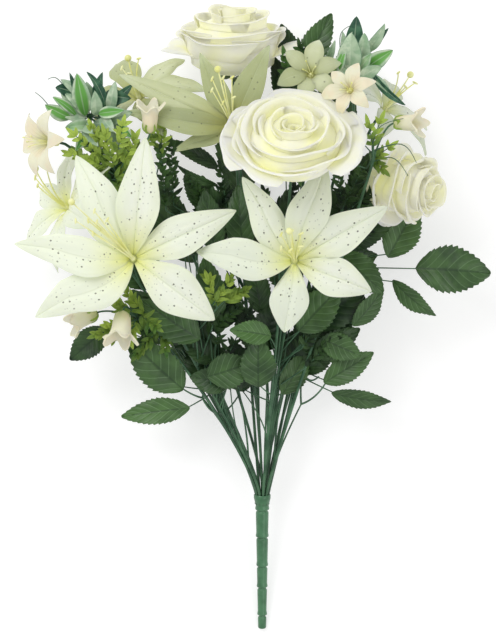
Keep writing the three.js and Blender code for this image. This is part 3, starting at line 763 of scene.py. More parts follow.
def sepals(matrix):
    """A rose's five pointed sepals, turned back from its petals."""
    points = []
    for k in range(SEPALS):
        turn = math.radians(360 / SEPALS * k)
        out = Vector((math.cos(turn), math.sin(turn), 0))
        base, tip = out * 2.5 + UP * -3.2, out * 22 + UP * -7.4
        points.append(cut(leaf_blank, leaf_surface(base, tip, 7, 0, .06, .15, teeth=6), 0.9))
    return sewn(points, LEAF_THICKNESS, matrix)


for plan in ROSES + LILIES + TRUMPETS:
    name = plan["name"]
    luck = random.Random(name)
    leaves = []
    for _, base, tip, width, *bend in LEAVES[name] + LOW_LEAVES.get(name, []):
        # Painted shade: a low leaf, or one on a stem under the blooms, gets a darker green.
        dark = name in STEMS_WITH_SHADE_PAINTED_LEAVES or len(leaves) >= len(LEAVES[name])
        chance = luck.uniform(*(PAINTED_SHADE_LUCK if dark else LIGHT_LUCK))
        form = leaf_surface(base, tip, width, *bend, luck=chance, lowest=TABLE_GAP)
        leaves.append(cut(leaf_blank, form, chance))
    sheets = sewn(leaves, LEAF_THICKNESS, PLAN_FRAME)
    if plan in ROSES:
        sheets = joined([sheets, sepals(bloom_frame(plan))])
    finish_piece(sheets, f"stem_{name}_leaves", rose_leaf_finish, "leaf_fabric", f"stem_{name}")

# ---- the dark filler sprays ----------------------------------------------------------
# Thin branches with many narrow dark green plastic leaflets, tied in low between the
# blooms. Each branch grows from the stem of a bloom.
ARM_RADII = (0.6, 0.5)
BRANCH_RADIUS = 0.5
FILLER_THICKNESS = 0.35
leaflet_blank = cloth_blank("leaflet_blank", 6, 2)


def leaflet(base, tip, width, tone, roll=0, fold=.25):
    """One small plain leaf of a spray; the higher its tone, the lighter it is."""
    return cut(leaflet_blank, leaf_surface(base, tip, width, roll, .1, fold, teeth=1), tone)


def spray(base, tip, pairs, length, width, luck, tone, spread=1.0, bow=0.08):
    """A branch's control points and its leaflets, set in pairs that lean towards its tip."""
    tip = Vector(tip)
    way = tip - base
    heading = way.normalized()
    side = heading.cross(UP).normalized()
    corners = bend_of(base, halfway(base, tip, way.length * bow), tip)
    leaflets = []
    for k in range(pairs):
        for hand in (-1, 1):
            along = 0.08 + 0.92 * (k + luck.uniform(-.3, .3)) / pairs
            spot = on_curve(corners, max(0, along))
            out = heading * luck.uniform(.3, 1) + side * hand * spread * luck.uniform(.4, 1)
            out += UP * luck.uniform(-.4, .8)
            reach = length * (1.1 - .45 * along) * luck.uniform(.75, 1.2)
            roll = luck.uniform(-30, 30)
            light = min(1, tone * (.35 + along) * luck.uniform(.5, 1.6))
            leaflets.append(leaflet(spot, spot + out.normalized() * reach, width, light, roll))
    leaflets.append(leaflet(spot, tip + heading * length * .6, width, tone))
    return corners, leaflets


def branch_off(stem, share, base, tip, tip_radius, *form):
    """A spray that branches off a stem on an arm of its own: its wires and its leaflets."""
    foot, base = along_curve(stem, share), Vector(base)
    corners, leaflets = spray(base, tip, *form)
    arm = stalk(foot, halfway(foot, base, 3), base, *ARM_RADII, 8)
    return [arm, wire(corners, BRANCH_RADIUS, tip_radius, 8, 2)], leaflets


# Each branch: the share of its stem's length where it starts, base, tip, pairs of
# leaflets, their length and width, and how light they are.
FILLER = {
    "lily_upper": [
        (.62, (-64, 84, 78), (-68, 132, 96), 14, 9, 3, .25),
        (.62, (-58, 88, 76), (-60, 138, 92), 12, 9, 3, .12),
        (.55, (-34, 88, 74), (-48, 112, 82), 7, 8, 2.4, 0),
        (.5, (-14, 70, 70), (-22, 120, 76), 9, 10, 3, 0),
        (.5, (-34, 78, 70), (-40, 104, 80), 8, 9, 3, .05),
        (.46, (4, 56, 66), (-8, 96, 72), 9, 9, 3, .05),
        (.46, (-30, 62, 68), (-16, 100, 74), 10, 9, 3, .0),
    ],
    "lily_left": [
        (.42, (-40, 0, 66), (-20, 26, 74), 7, 9, 2.6, .5),
        (.36, (-30, -12, 66), (-6, 10, 76), 9, 10, 2.6, .2),
        (.36, (-26, -24, 64), (-18, 16, 72), 9, 10, 2.6, .05),
        (.5, (-74, 16, 72), (-104, -6, 80), 7, 9, 2.6, .45),
        (.46, (-66, 6, 70), (-88, -24, 76), 7, 9, 2.6, .3),
        (.32, (-16, -30, 64), (2, 8, 70), 9, 9, 2.4, .0),
    ],
    "lily_front": [
        (.52, (42, -24, 72), (66, 14, 82), 10, 9, 3, .1),
        (.5, (46, -16, 72), (48, 22, 86), 9, 9, 3, .15),
        (.46, (34, -30, 62), (58, -6, 70), 8, 9, 3, .3),
        (.42, (44, -40, 62), (72, -12, 66), 8, 9, 3, .1),
    ],
    "trumpet_right": [
        (.66, (74, 86, 86), (90, 118, 100), 9, 10, 2, .2),
        (.66, (74, 84, 86), (70, 112, 100), 8, 9, 2, .1),
        (.66, (78, 84, 84), (104, 104, 92), 9, 9, 2, .3),
        (.6, (70, 76, 74), (92, 92, 84), 9, 11, 3, .15),
        (.5, (66, 56, 64), (96, 70, 70), 9, 9, 2.4, 0),
    ],
    "rose_centre": [
        (.55, (34, 46, 78), (36, 104, 88), 14, 10, 3, .05),
        (.55, (28, 50, 76), (12, 100, 84), 12, 10, 3, .1),
        (.55, (40, 50, 76), (60, 102, 84), 12, 10, 3, .05),
        (.5, (20, 44, 72), (24, 90, 80), 12, 10, 3, 0),
    ],
    "trumpet_back": [
        (.84, (34, 172, 68), (28, 208, 78), 8, 10, 3.4, .75),
        (.84, (40, 168, 68), (62, 196, 78), 8, 10, 3.4, .6),
        (.84, (48, 176, 72), (40, 214, 84), 8, 10, 3, .3),
        (.84, (60, 178, 70), (74, 206, 80), 8, 9, 3, .6),
    ],
    "trumpet_left": [
        (.8, (-112, 112, 70), (-124, 140, 80), 10, 10, 3, .5),
        (.8, (-100, 104, 68), (-98, 142, 80), 12, 10, 3, .3),
    ],
    "lily_far_left": [
        (.7, (-112, 96, 74), (-104, 118, 86), 8, 9, 3, .3),
        (.6, (-92, 88, 70), (-84, 120, 84), 9, 9, 3, .2),
    ],
}
filler_finish = leaf_cloth(
    "dark_filler_plastic", (0.006, 0.02, 0.008), (0.1, 0.23, 0.05), (0.1, 0.22, 0.05),
)
for name, branches in FILLER.items():
    luck = random.Random(name + "_filler")
    node = f"stem_{name}"
    wires, leaflets = [], []
    for share, base, tip, pairs, length, width, tone in branches:
        form = (pairs, length, width, luck, tone)
        new_wires, more = branch_off(stem_shapes[name], share, base, tip, 0.3, *form)
        wires += new_wires
        leaflets += more
    branch = joined(wires, PLAN_FRAME)
    finish_piece(branch, f"{node}_filler_wires", wire_finish, "handle_plastic", node)
    sheets = sewn(leaflets, FILLER_THICKNESS, PLAN_FRAME)
    finish_piece(sheets, f"{node}_filler", filler_finish, "leaf_fabric", node)

# ---- the roses ---------------------------------------------------------------------
# Open roses of cream petal cloth, heat-formed and glued round a core: tight and
# yellow-green in the middle, wide and cool white outside, with softly rolled rims.
PETAL_THICKNESS = 0.45
ROSE_POCKET = 7.5
# Each ring of petals, from the middle out: their turns round the core, radius, height, span,
# flare, and, where it has them, how spread the petals are and how far they turn back.
ROSE_RINGS = {
    "rose_centre": [
        ((0, 180), 3.5, 36, 235, 0), ((70, 250), 8, 40, 235, .5),
        ((285, 45, 165), 15, 41, 172, 1.4), ((230, 345, 110), 24, 38.5, 172, 2.2),
        ((275, 35, 155), 33, 34, 172, 2.8), ((238, 322, 50, 140), 38, 28, 128, 3.4),
        ((207, 352, 62, 115, 165), 40, 25, 98, 11, .4, .05),
    ],
    "rose_top": [
        ((0, 180), 3.5, 49, 235, 0), ((90, 270), 8, 52.5, 235, .6),
        ((285, 45, 165), 15, 51, 172, 1.6), ((220, 340, 100), 24, 47, 172, 3),
        ((278, 38, 158), 32, 40, 172, 4), ((235, 325, 55, 145), 36.5, 33, 130, 3),
        ((176, 12, 60, 120), 38, 28, 80, 14, .35, .06),
    ],
    "rose_right": [
        ((20, 200), 3, 54, 235, 0), ((100, 280), 6, 58, 235, .4),
        ((190, 310, 70), 11, 57.5, 172, 1.2), ((140, 260, 20), 16, 53, 172, 2.2),
        ((195, 285, 15, 105), 19.5, 46, 132, 3.4), ((150, 240, 330, 60), 21, 36, 128, 5, .1),
        ((250, 285, 120, 20), 22, 24, 110, 7, .3, .06), ((215,), 24.5, 23, 125, 7, .15, .07),
    ],
}
rose_blank = cloth_blank("rose_petal_blank", 26, 22)


def rose_petal(radius, height, foot, span, turn, flare, luck, spread=0, reflex=0):
    """A petal rooted in the core and cupped out to its radius, with round shoulders; its
    rim rolls softly back, most of all at the shoulders, and its cloth is a little crumpled."""
    spiral = max(0.07 * radius, 1.6)
    heading = math.radians(turn)
    body = 0.78

    def surface(u, v):
        edge = np.abs(v)
        u = u * (1 - 0.1 * edge ** 2 - (0.08 + 3 * reflex) * edge ** 6)
        s = np.minimum(u / body, 1)
        t = np.maximum(u - body, 0) / (1 - body)
        out = (1 - spread) * (1 - (1 - s) ** 3) ** .55 + spread * s
        taper = (0.42 + 0.58 * s ** .7) * (1 - 0.18 * u ** 7)
        azimuth = heading + v * math.radians(span / 2) * taper
        reach = 3 + (radius - 3) * out + flare * s ** 4 * (1 + 0.35 * v * v)
        reach = reach + spiral * v * u + reflex * radius * edge ** 3 * s ** 3
        lift = foot + (height - foot) * s - 0.35 * flare * s ** 5
        lift = lift - (0.06 * height * v * v + 0.9 * reflex * radius * edge ** 3) * s * s
        lift = lift + 0.05 * radius * np.exp(-(v / 0.25) ** 2) * s ** 6 * (luck - .3)
        start = math.radians(62 - 3.5 * flare)
        turned = start - t * math.radians(90)
        curl = (1.2 + 0.06 * radius) * (0.6 + 0.7 * edge ** 2)
        reach = reach + curl * (math.sin(start) - np.sin(turned))
        lift = lift + curl * (np.cos(turned) - math.cos(start))
        soft = (0.4 + 0.028 * radius) * s
        crumple = np.sin(2.2 * v + 3 * u + 40 * luck) + 0.5 * np.sin(4.9 * v - 3 * u + 77 * luck)
        frill = np.sin(7.7 * v + 120 * luck) * s ** 6
        reach = reach + soft * (crumple + 0.5 * frill)
        lift = lift + 1.3 * soft * (np.sin(3.3 * v + 60 * luck) * s ** 3)
        points = (reach * np.cos(azimuth), reach * np.sin(azimuth), lift)
        return points, v * span / 115 * radius * (0.4 + 0.6 * s), u * height

    return surface


# Petal cloth: a fine weave, faint long fibres and creases pressed into the cloth.
petal_cloth, petal_in, petal_out = new_group(
    "petal_cloth",
    [("Crease", "NodeSocketFloat", 0.5)],
    [("Fibre", "NodeSocketFloat"), ("Height", "NodeSocketFloat")],
)


def stretched(scale):
    """The cloth's own measures, stretched by a scale along each of them."""
    inputs = {"Vector": point_data(petal_cloth, "cloth"), "Scale": scale}
    return new_node(petal_cloth, "ShaderNodeMapping", inputs).outputs["Vector"]


def threads(scale):
    inputs = {"Vector": stretched(scale), "Scale": 1.0}
    node = new_node(petal_cloth, "ShaderNodeTexWave", inputs, bands_direction="DIAGONAL")
    return node.outputs["Fac"]


fibre = {"Vector": stretched((1.0, 0.12, 1.0)), "Scale": 1.3, "Detail": 3.0}
fibre = new_node(petal_cloth, "ShaderNodeTexNoise", fibre).outputs["Fac"]
weave = times(plus(threads((9.0, 0.0, 0.0)), threads((0.0, 9.0, 0.0))), 0.12)
feed(petal_out["Fibre"], fibre)
feed(petal_out["Height"], plus(weave, times(fibre, petal_in["Crease"])))

# Painted light: the cloth's faint emission, tinted below, makes the petals glow.
rose_finish, shader = new_finish(
    "cream_rose_cloth", Roughness=0.72, Sheen_Weight=0.1, Subsurface_Weight=0.6,
    Subsurface_Radius=(1, 1, .6), Subsurface_Scale=0.004, Specular_IOR_Level=0.2,
    Emission_Strength=0.2,
)
tree = shader.id_data
surface = use_group(tree, petal_cloth, Crease=0.5)
along = shares_of(tree, "run")[1]
inner = shares_of(tree, "cloth")[2]
warm = ramp(cloudy(tree, 42.0, 1.0), 0.32, 0.7)
# Painted light: each petal turns from its rim colour to a brighter cream-yellow towards its base.
# This is partly the rose's own cream and partly painted light glowing through the layered cloth
# where shade would fall. The inner rims are toned darker so that their lit rolls stand out less.
depth = fade(plus(along, times(warm, -0.12)), 0.4, 0.92)
rim = colour_mix(inner, (0.8, 0.8, 0.72), (0.74, 0.73, 0.5))
deep_cream_and_painted_glow = colour_mix(warm, (0.86, 0.85, 0.66), (0.87, 0.87, 0.5))
colour = colour_mix(depth, rim, deep_cream_and_painted_glow)
colour = colour_mix(times(surface["Fibre"], 0.1), colour, (0.72, 0.74, 0.62))
dress(shader, colour, surface["Height"], 0.35)
# Painted light: the petals glow a little all over, most towards their bases and in the inner rings,
# as if lit through the cloth. This lifts the shade in the bloom.
painted_glow = plus(times(depth, plus(times(inner, 0.4), 0.3)), 0.3)
painted_glow_tint = colour_mix(warm, (0.7, 0.68, 0.55), (0.68, 0.68, 0.34))
feed(shader.inputs["Emission Color"], colour_mix(painted_glow, (0, 0, 0), painted_glow_tint))

for plan in ROSES:
    name = plan["name"]
    luck = random.Random(name)
    rings = ROSE_RINGS[name]
    outermost = len(rings) - 1
    matrix = bloom_frame(plan)
    petals = []
    for k, (turns, radius, height, span, flare, *rim) in enumerate(rings):
        foot = 1.5 + 1.4 * (outermost - k)
        for turn in turns:
            chance = luck.random()
            tall, wide = height * luck.uniform(.92, 1.03), radius * luck.uniform(.94, 1.05)
            turn += luck.uniform(-9, 9)
            form = rose_petal(wide, tall, foot, span, turn, flare, chance, *rim)
            petals.append(cut(rose_blank, form, chance, 1 - k / outermost))
    bloom = sewn(petals, PETAL_THICKNESS, matrix)
    outline = [(ring[1] * .93 + 1, ring[2] - ROSE_POCKET) for ring in rings[-2::-1]]
    widest, top = outline[0][0], outline[-1][1]
    outline = [(4, 1.5), (widest * .7, 2.6), (widest * .93, 8), *outline, (1, top)]
    core = smoothed(joined([turned(outline, 48)], matrix), 60)
    note(core, "run", [(0, 0.7, 0.5)] * len(core.data.vertices))
    finish_piece(joined([bloom, core]), f"{name}_petals", rose_finish, "rose_fabric", name)

# ---- the lilies --------------------------------------------------------------------
# Large lilies of printed white petal cloth: a yellow-green throat, a pressed midrib, fine
# grey speckles and a few large dark ones. Three inner petals lie on three outer ones.
lily_blank = cloth_blank("lily_petal_blank", 34, 14)


def profile_at(corners, u):
    """The way out and up at the share u of a petal's profile curve."""
    s = 1 - u
    weights = np.stack((s ** 3, 3 * s * s * u, 3 * s * u * u, u ** 3))
    return np.array(corners).T @ weights


def narrower(first, second):
    """The lesser of two widths, softly rounded where they cross."""
    return (first ** -4 + second ** -4) ** -.25


def about(heading, out, side, up):
    """Points that lie out and sideways from a bloom's axis, turned to their heading."""
    cos, sin = np.cos(heading), np.sin(heading)
    return out * cos - side * sin, out * sin + side * cos, up


def lily_petal(azimuth, root, length, width, outer, luck):
    """A petal that rises from the throat, widens and bends over to its pointed tip."""
    lower = 0.05 * length if outer else 0
    trough_end = 0.06 if outer else 0.14
    corners = [
        (1.2, min(3, 0.06 * length)), (0.12 * length, 0.3 * length - lower),
        (0.6 * length, 0.36 * length - 1.6 * lower), (length, 0.17 * length - lower),
    ]

    def surface(u, v):
        x, y = profile_at(corners, u)
        swell, taper = 1.06 * (u / 0.42 + 0.002) ** .8, ((1 - u) / 0.5 + 0.002) ** .78
        full = 0.2 + (width / 2) * 1.1 * narrower(swell, taper)
        half = narrower(full, 0.5 + 0.56 * x)
        edge = np.abs(v)
        soft_edge = np.sqrt(v * v + 0.02) - 0.14
        trough = (0.34 + (trough_end - 0.34) * u) * half * soft_edge
        droop = -0.07 * width * edge ** 3 * np.sin(np.pi * u)
        droop = droop - 0.05 * length * np.maximum(0, u - .7) ** 2 / .09
        wave = 0.035 * width * np.sin(3 * np.pi * u + azimuth) * v
        ripple = np.sin(7 * np.pi * u + WHOLE_WAVE * luck) * edge ** 3 * np.sign(v)
        rib = -0.035 * width * np.exp(-(v / 0.07) ** 2) * np.sin(np.pi * u) ** .5
        pleat = 0.011 * width * np.cos(5 * np.pi * v + 9 * luck) * np.sin(np.pi * u)
        lift = y + trough + wave + droop + 0.022 * width * ripple + rib + pleat
        heading = np.radians(root + (azimuth - root) * np.minimum(1, 1.4 * u))
        side = v * half
        return about(heading, x, side, lift), side + 97 * luck, u * length + 53 * luck

    return surface


# Print on the petals: a lemon throat, a darker line along the pressed midrib, faint small specks
# and dark dots.
lily_print, print_in, print_out = new_group(
    "lily_print",
    [
        ("Middle", "NodeSocketColor", (0.86, 0.89, 0.8, 1)),
        ("Side", "NodeSocketColor", (0.8, 0.86, 0.72, 1)),
        ("Throat", "NodeSocketColor", (0.8, 0.81, 0.24, 1)),
        ("Specks", "NodeSocketFloat", 1.0),
        ("Shade", "NodeSocketColor", (0.86, 0.89, 0.8, 1)),
    ],
    [("Color", "NodeSocketColor")],
)
across, along, luck = shares_of(lily_print, "run")
fibres = use_group(lily_print, petal_cloth)
edge = maths("ABSOLUTE", across)
colour = colour_mix(ramp(edge, 0.3, 1.0), print_in["Middle"], print_in["Side"])
# Painted shade: by its luck a petal is mixed towards the Shade colour, as if shade lay on it.
colour = colour_mix(ramp(luck, 0.1, 0.8), colour, print_in["Shade"])
throat = times(fade(along, 0.02, 0.56), fade(edge, 0.3, 1.3, 1.0, 0.4))
for share, ink in (
    (throat, print_in["Throat"]),
    (fade(along, 0.02, 0.12, 0.55), (0.32, 0.36, 0.08)),
    (ramp(along, 0.82, 1.0, 0.0, 0.3), (0.7, 0.8, 0.56)),
    (fade(edge, 0.01, 0.06, 0.3), (0.55, 0.6, 0.4)),
    (times(fibres["Fibre"], 0.12), (0.6, 0.68, 0.52)),
):
    colour = colour_mix(share, colour, ink)
middle = times(ramp(along, 0.14, 0.3), fade(along, 0.74, 0.9))
middle = times(times(middle, fade(edge, 0.66, 0.9)), print_in["Specks"])
# Each kind of speck: how close together, size, the share of the places that hold one,
# strength and ink.
SPECKLES = [
    (0.27, 0.15, 0.42, 0.5, (0.4, 0.43, 0.32)),
    (0.15, 0.11, 0.42, 0.85, (0.06, 0.065, 0.04)),
]
for scale, size, kept, strength, ink in SPECKLES:
    inputs = {"Vector": point_data(lily_print, "cloth"), "Scale": scale, "Randomness": 0.9}
    cells = new_node(lily_print, "ShaderNodeTexVoronoi", inputs, voronoi_dimensions="2D").outputs
    chosen = new_node(lily_print, "ShaderNodeSeparateColor", {0: cells["Color"]}).outputs[0]
    dot = fade(cells["Distance"], size * 0.75, size)
    dot = times(dot, maths("LESS_THAN", chosen, kept))
    colour = colour_mix(times(dot, times(middle, strength)), colour, ink)
feed(print_out["Color"], colour)


def petal_print_cloth(name, middle, side, shade, throat, specks=1.0):
    material, shader = new_finish(
        name, Roughness=0.6, Sheen_Weight=0.1, Subsurface_Weight=0.4,
        Subsurface_Radius=(1, 1, .7), Subsurface_Scale=0.003, Specular_IOR_Level=0.3,
    )
    colours = use_group(
        shader.id_data, lily_print, Middle=middle, Side=side, Throat=throat, Shade=shade,
        Specks=specks,
    )
    surface = use_group(shader.id_data, petal_cloth, Crease=0.9)
    dress(shader, colours["Color"], surface["Height"], 0.4)
    return material


white_lily = petal_print_cloth(
    "speckled_lily_cloth", (0.86, 0.9, 0.72), (0.79, 0.85, 0.62), (0.8, 0.86, 0.66),
    (0.78, 0.8, 0.22),
)
# Painted shade: darker olive and grey copies of the lily cloth, for the lilies that lie behind and
# under the roses, with the shade on them painted in.
olive_painted_shade_lily = petal_print_cloth(
    "lily_cloth_with_olive_painted_shade", (0.62, 0.66, 0.42), (0.5, 0.54, 0.32), (0.34, 0.38, 0.19),
    (0.42, 0.42, 0.1), 0.6,
)
grey_painted_shade_lily = petal_print_cloth(
    "lily_cloth_with_grey_painted_shade", (0.66, 0.7, 0.58), (0.56, 0.61, 0.48), (0.5, 0.55, 0.42),
    (0.6, 0.64, 0.26),
)
LILY_CLOTHS = {"lily_upper": olive_painted_shade_lily, "lily_back_left": olive_painted_shade_lily, "lily_right": grey_painted_shade_lily}

for plan in LILIES:
    name = plan["name"]
    luck = random.Random(name)
    size = plan["petals"][0]["length"]
    matrix = bloom_frame(plan)
    petals = []
    for petal in plan["petals"]:
        chance = luck.random()
        petals.append(cut(lily_blank, lily_petal(luck=chance, **petal), chance))
    sheets = sewn(petals, PETAL_THICKNESS, matrix)
    cup = turned([(2.4, 0), (3, .3), (3.4, .07 * size), (2.2, .1 * size)], 20)
    bloom = joined([sheets, smoothed(joined([cup], matrix))])
    cloth = LILY_CLOTHS.get(name, white_lily)
    finish_piece(bloom, f"{name}_petals", cloth, "lily_fabric", name)

# ---- the stamens -------------------------------------------------------------------
# Moulded sprays of pale yellow plastic on a button in the throat: soft filaments that
# bend over, each with a long anther set across its end, round a thicker pistil.
FILAMENT_RADIUS = 0.75
PISTIL_RADIUS = 0.975
FILAMENTS = 6
ANTHER = (5, 0.9)
PISTIL_HEAD = (5.4, 2.8)
stamen_finish = moulded_plastic(
    "pale_yellow_stamen", (0.72, 0.72, 0.26), (0.84, 0.85, 0.48), 0.5, Subsurface_Weight=0.3,
    Subsurface_Radius=(1, 1, .5), Subsurface_Scale=0.002,
)


def knob(centre, heading, length, radius):
    """A long rounded knob, such as an anther, along its heading."""
    bpy.ops.object.select_all(action="DESELECT")
    bpy.ops.mesh.primitive_uv_sphere_add(segments=12, ring_count=8, radius=1)
    piece = bpy.context.object
    turn = Vector(heading).to_track_quat("Z", "Y").to_matrix().to_4x4()
    form = Matrix.Diagonal((radius, radius, length / 2, 1))
    piece.data.transform(Matrix.Translation(centre) @ turn @ form)
    return piece


for plan in LILIES:
    name = plan["name"]
    luck = random.Random(name + "_stamens")
    count = plan.get("filaments", FILAMENTS)
    lean = Vector((*plan["lean"], 0))
    floor = 0.1 * plan["petals"][0]["length"] + 0.3
    parts = [turned([(1.7, floor), (1.9, floor + .4), (1.8, floor + 2.6), (.9, floor + 3.8)], 16)]
    for k in range(count + 1):
        pistil = k == count
        angle = 2 * math.pi * k / count + 0.5
        ring = 0 if pistil else 1
        root = Vector((ring * math.cos(angle), ring * math.sin(angle), floor + 1))
        top = root * 9 + lean * (1.1 if pistil else luck.uniform(.6, .85))
        top.z = 40 if pistil else luck.uniform(30, 38)
        bow = Vector((root.x, root.y, root.z + 0.62 * (top.z - root.z))) + lean * .12
        heading = (top - bow).normalized()
        parts.append(stalk(root, bow, top, PISTIL_RADIUS if pistil else FILAMENT_RADIUS))
        if pistil:
            parts.append(knob(top, heading, *PISTIL_HEAD))
        else:
            across = heading.cross(UP).normalized()
            parts.append(knob(top, across + heading * luck.uniform(0.4, 1.2), *ANTHER))
    bundle = smoothed(joined(parts, bloom_frame(plan)), 60)
    node = f"{name}_stamens"
    finish_piece(bundle, f"{name}_stamen_spray", stamen_finish, "stamen_plastic", node)

# ---- the small trumpet flowers --------------------------------------------------------
# Small cream trumpets with a faint peach flush and thin stripes towards the throat: six
# petals that open from a tube, round a narrow pale yellow cup with a few threads.
THREADS = 4
THREAD_STEP = 1.57
THREAD_RADII = (0.4, 0.25)
THREAD_HEAD = (2.6, 0.7)
trumpet_blank = cloth_blank("trumpet_petal_blank", 20, 8)
small_finish, shader = new_finish(
    "peach_cream_cloth", Roughness=0.65, Sheen_Weight=0.12, Subsurface_Weight=0.3,
    Subsurface_Radius=(1, 1, .7), Subsurface_Scale=0.002, Specular_IOR_Level=0.3,
)
tree = shader.id_data
surface = use_group(tree, petal_cloth, Crease=0.6)
across, along, _ = shares_of(tree, "run")
colour = colour_mix(ramp(along, 0.1, 0.6), (0.6, 0.62, 0.3), (0.76, 0.74, 0.56))
blush = ramp(cloudy(tree, 70.0, 2.0), 0.45, 0.65, 0.0, 0.6)
stripes = maths("ABSOLUTE", maths("SINE", times(across, WHOLE_WAVE)))
stripes = times(fade(stripes, 0.0, 0.35), fade(along, 0.3, 0.8))
for share, ink in (
    (blush, (0.8, 0.67, 0.48)),
    (times(stripes, 0.55), (0.4, 0.33, 0.15)),
    (times(surface["Fibre"], 0.15), (0.66, 0.62, 0.48)),
):
    colour = colour_mix(share, colour, ink)
dress(shader, colour, surface["Height"], 0.35)


def trumpet_petal(azimuth, length, width, luck):
    """A petal that stands in the tube for a third of its length and then opens out."""
    corners = [
        (1.4, 1), (0.1 * length, 0.42 * length), (0.3 * length, 0.72 * length),
        (0.92 * length, 0.66 * length),
    ]

    def surface(u, v):
        x, y = profile_at(corners, u)
        full = 0.6 + (width / 2) * 3.2 * u ** .8 * (1 - u) ** .8
        half = narrower(full, 0.9 + 0.57 * x)
        heading = np.radians(azimuth + 12 * (luck - .5) * u)
        side = v * half
        curl = 0.22 * length * np.maximum(0, u - .72) ** 2 / .0784
        cup = 0.25 * half * v * v * (1 - u)
        ripple = 0.05 * width * np.sin(8 * u + WHOLE_WAVE * luck) * v
        points = about(heading, x - cup, side, y + ripple - curl)
        return points, side + 97 * luck, u * length + 53 * luck

    return surface


for plan in TRUMPETS:
    name = plan["name"]
    luck = random.Random(name)
    matrix = bloom_frame(plan)
    petals = []
    for petal in plan["petals"]:
        chance = luck.random()
        length = petal["length"] * luck.uniform(.95, 1.1)
        form = trumpet_petal(petal["azimuth"], length, petal["width"], chance)
        petals.append(cut(trumpet_blank, form, chance))
    sheets = sewn(petals, PETAL_THICKNESS, matrix)
    # The back trumpet wears the olive lily cloth with its painted shade.
    cloth = olive_painted_shade_lily if name == "trumpet_back" else small_finish
    finish_piece(sheets, f"{name}_petals", cloth, "small_flower_fabric", name)
    parts = [turned([(1.6, 0), (2.9, .4), (3.1, 3), (2.2, 7), (1.2, 8)], 16)]
    for k in range(THREADS):
        turn = THREAD_STEP * k + luck.random()
        root = Vector((math.cos(turn), math.sin(turn), 4))
        top = Vector((root.x * 5, root.y * 5, plan["petals"][0]["length"] * luck.uniform(.8, 1)))
        bow = Vector((root.x, root.y, top.z * .7))
        parts.append(stalk(root, bow, top, *THREAD_RADII, 8))
        parts.append(knob(top, top - root, *THREAD_HEAD))
    bundle = smoothed(joined(parts, matrix), 60)
    finish_piece(bundle, f"{name}_threads", stamen_finish, "stamen_plastic", name)

# ---- the bells and the lime sprays -------------------------------------------------------
# Moulded sprays of narrow lime leaflets on green wires, with small cream bells hanging
# from them on thin stalks. A bell has five curled lobes and a green cup of leaflets.
LIME_THICKNESS = 0.4
LIME_LEAFLET = (10.5, 3.1)
LIME_PAIRS = 7
CURL_TIP_RADIUS = 0.25
BELL_STALK_RADIUS = 0.75
BELL_LOBES = 5
# Each ring of a bell, outside and then inside: its share of the mouth's width, how much
# wider it is than that, and its share of the bell's length.
BELL_RINGS = (
    (0, 2.4, 0), (.28, 0, .12), (.33, 0, .4), (.35, 0, .66), (.42, 0, .86), (.54, 0, 1),
    (.6, 0, .97), (.58, 0, .95), (.5, 0, .96), (.4, 0, .84), (.35, -1, .66), (.3, -1, .4),
    (.2, 0, .2), (0, .4, .18),
)
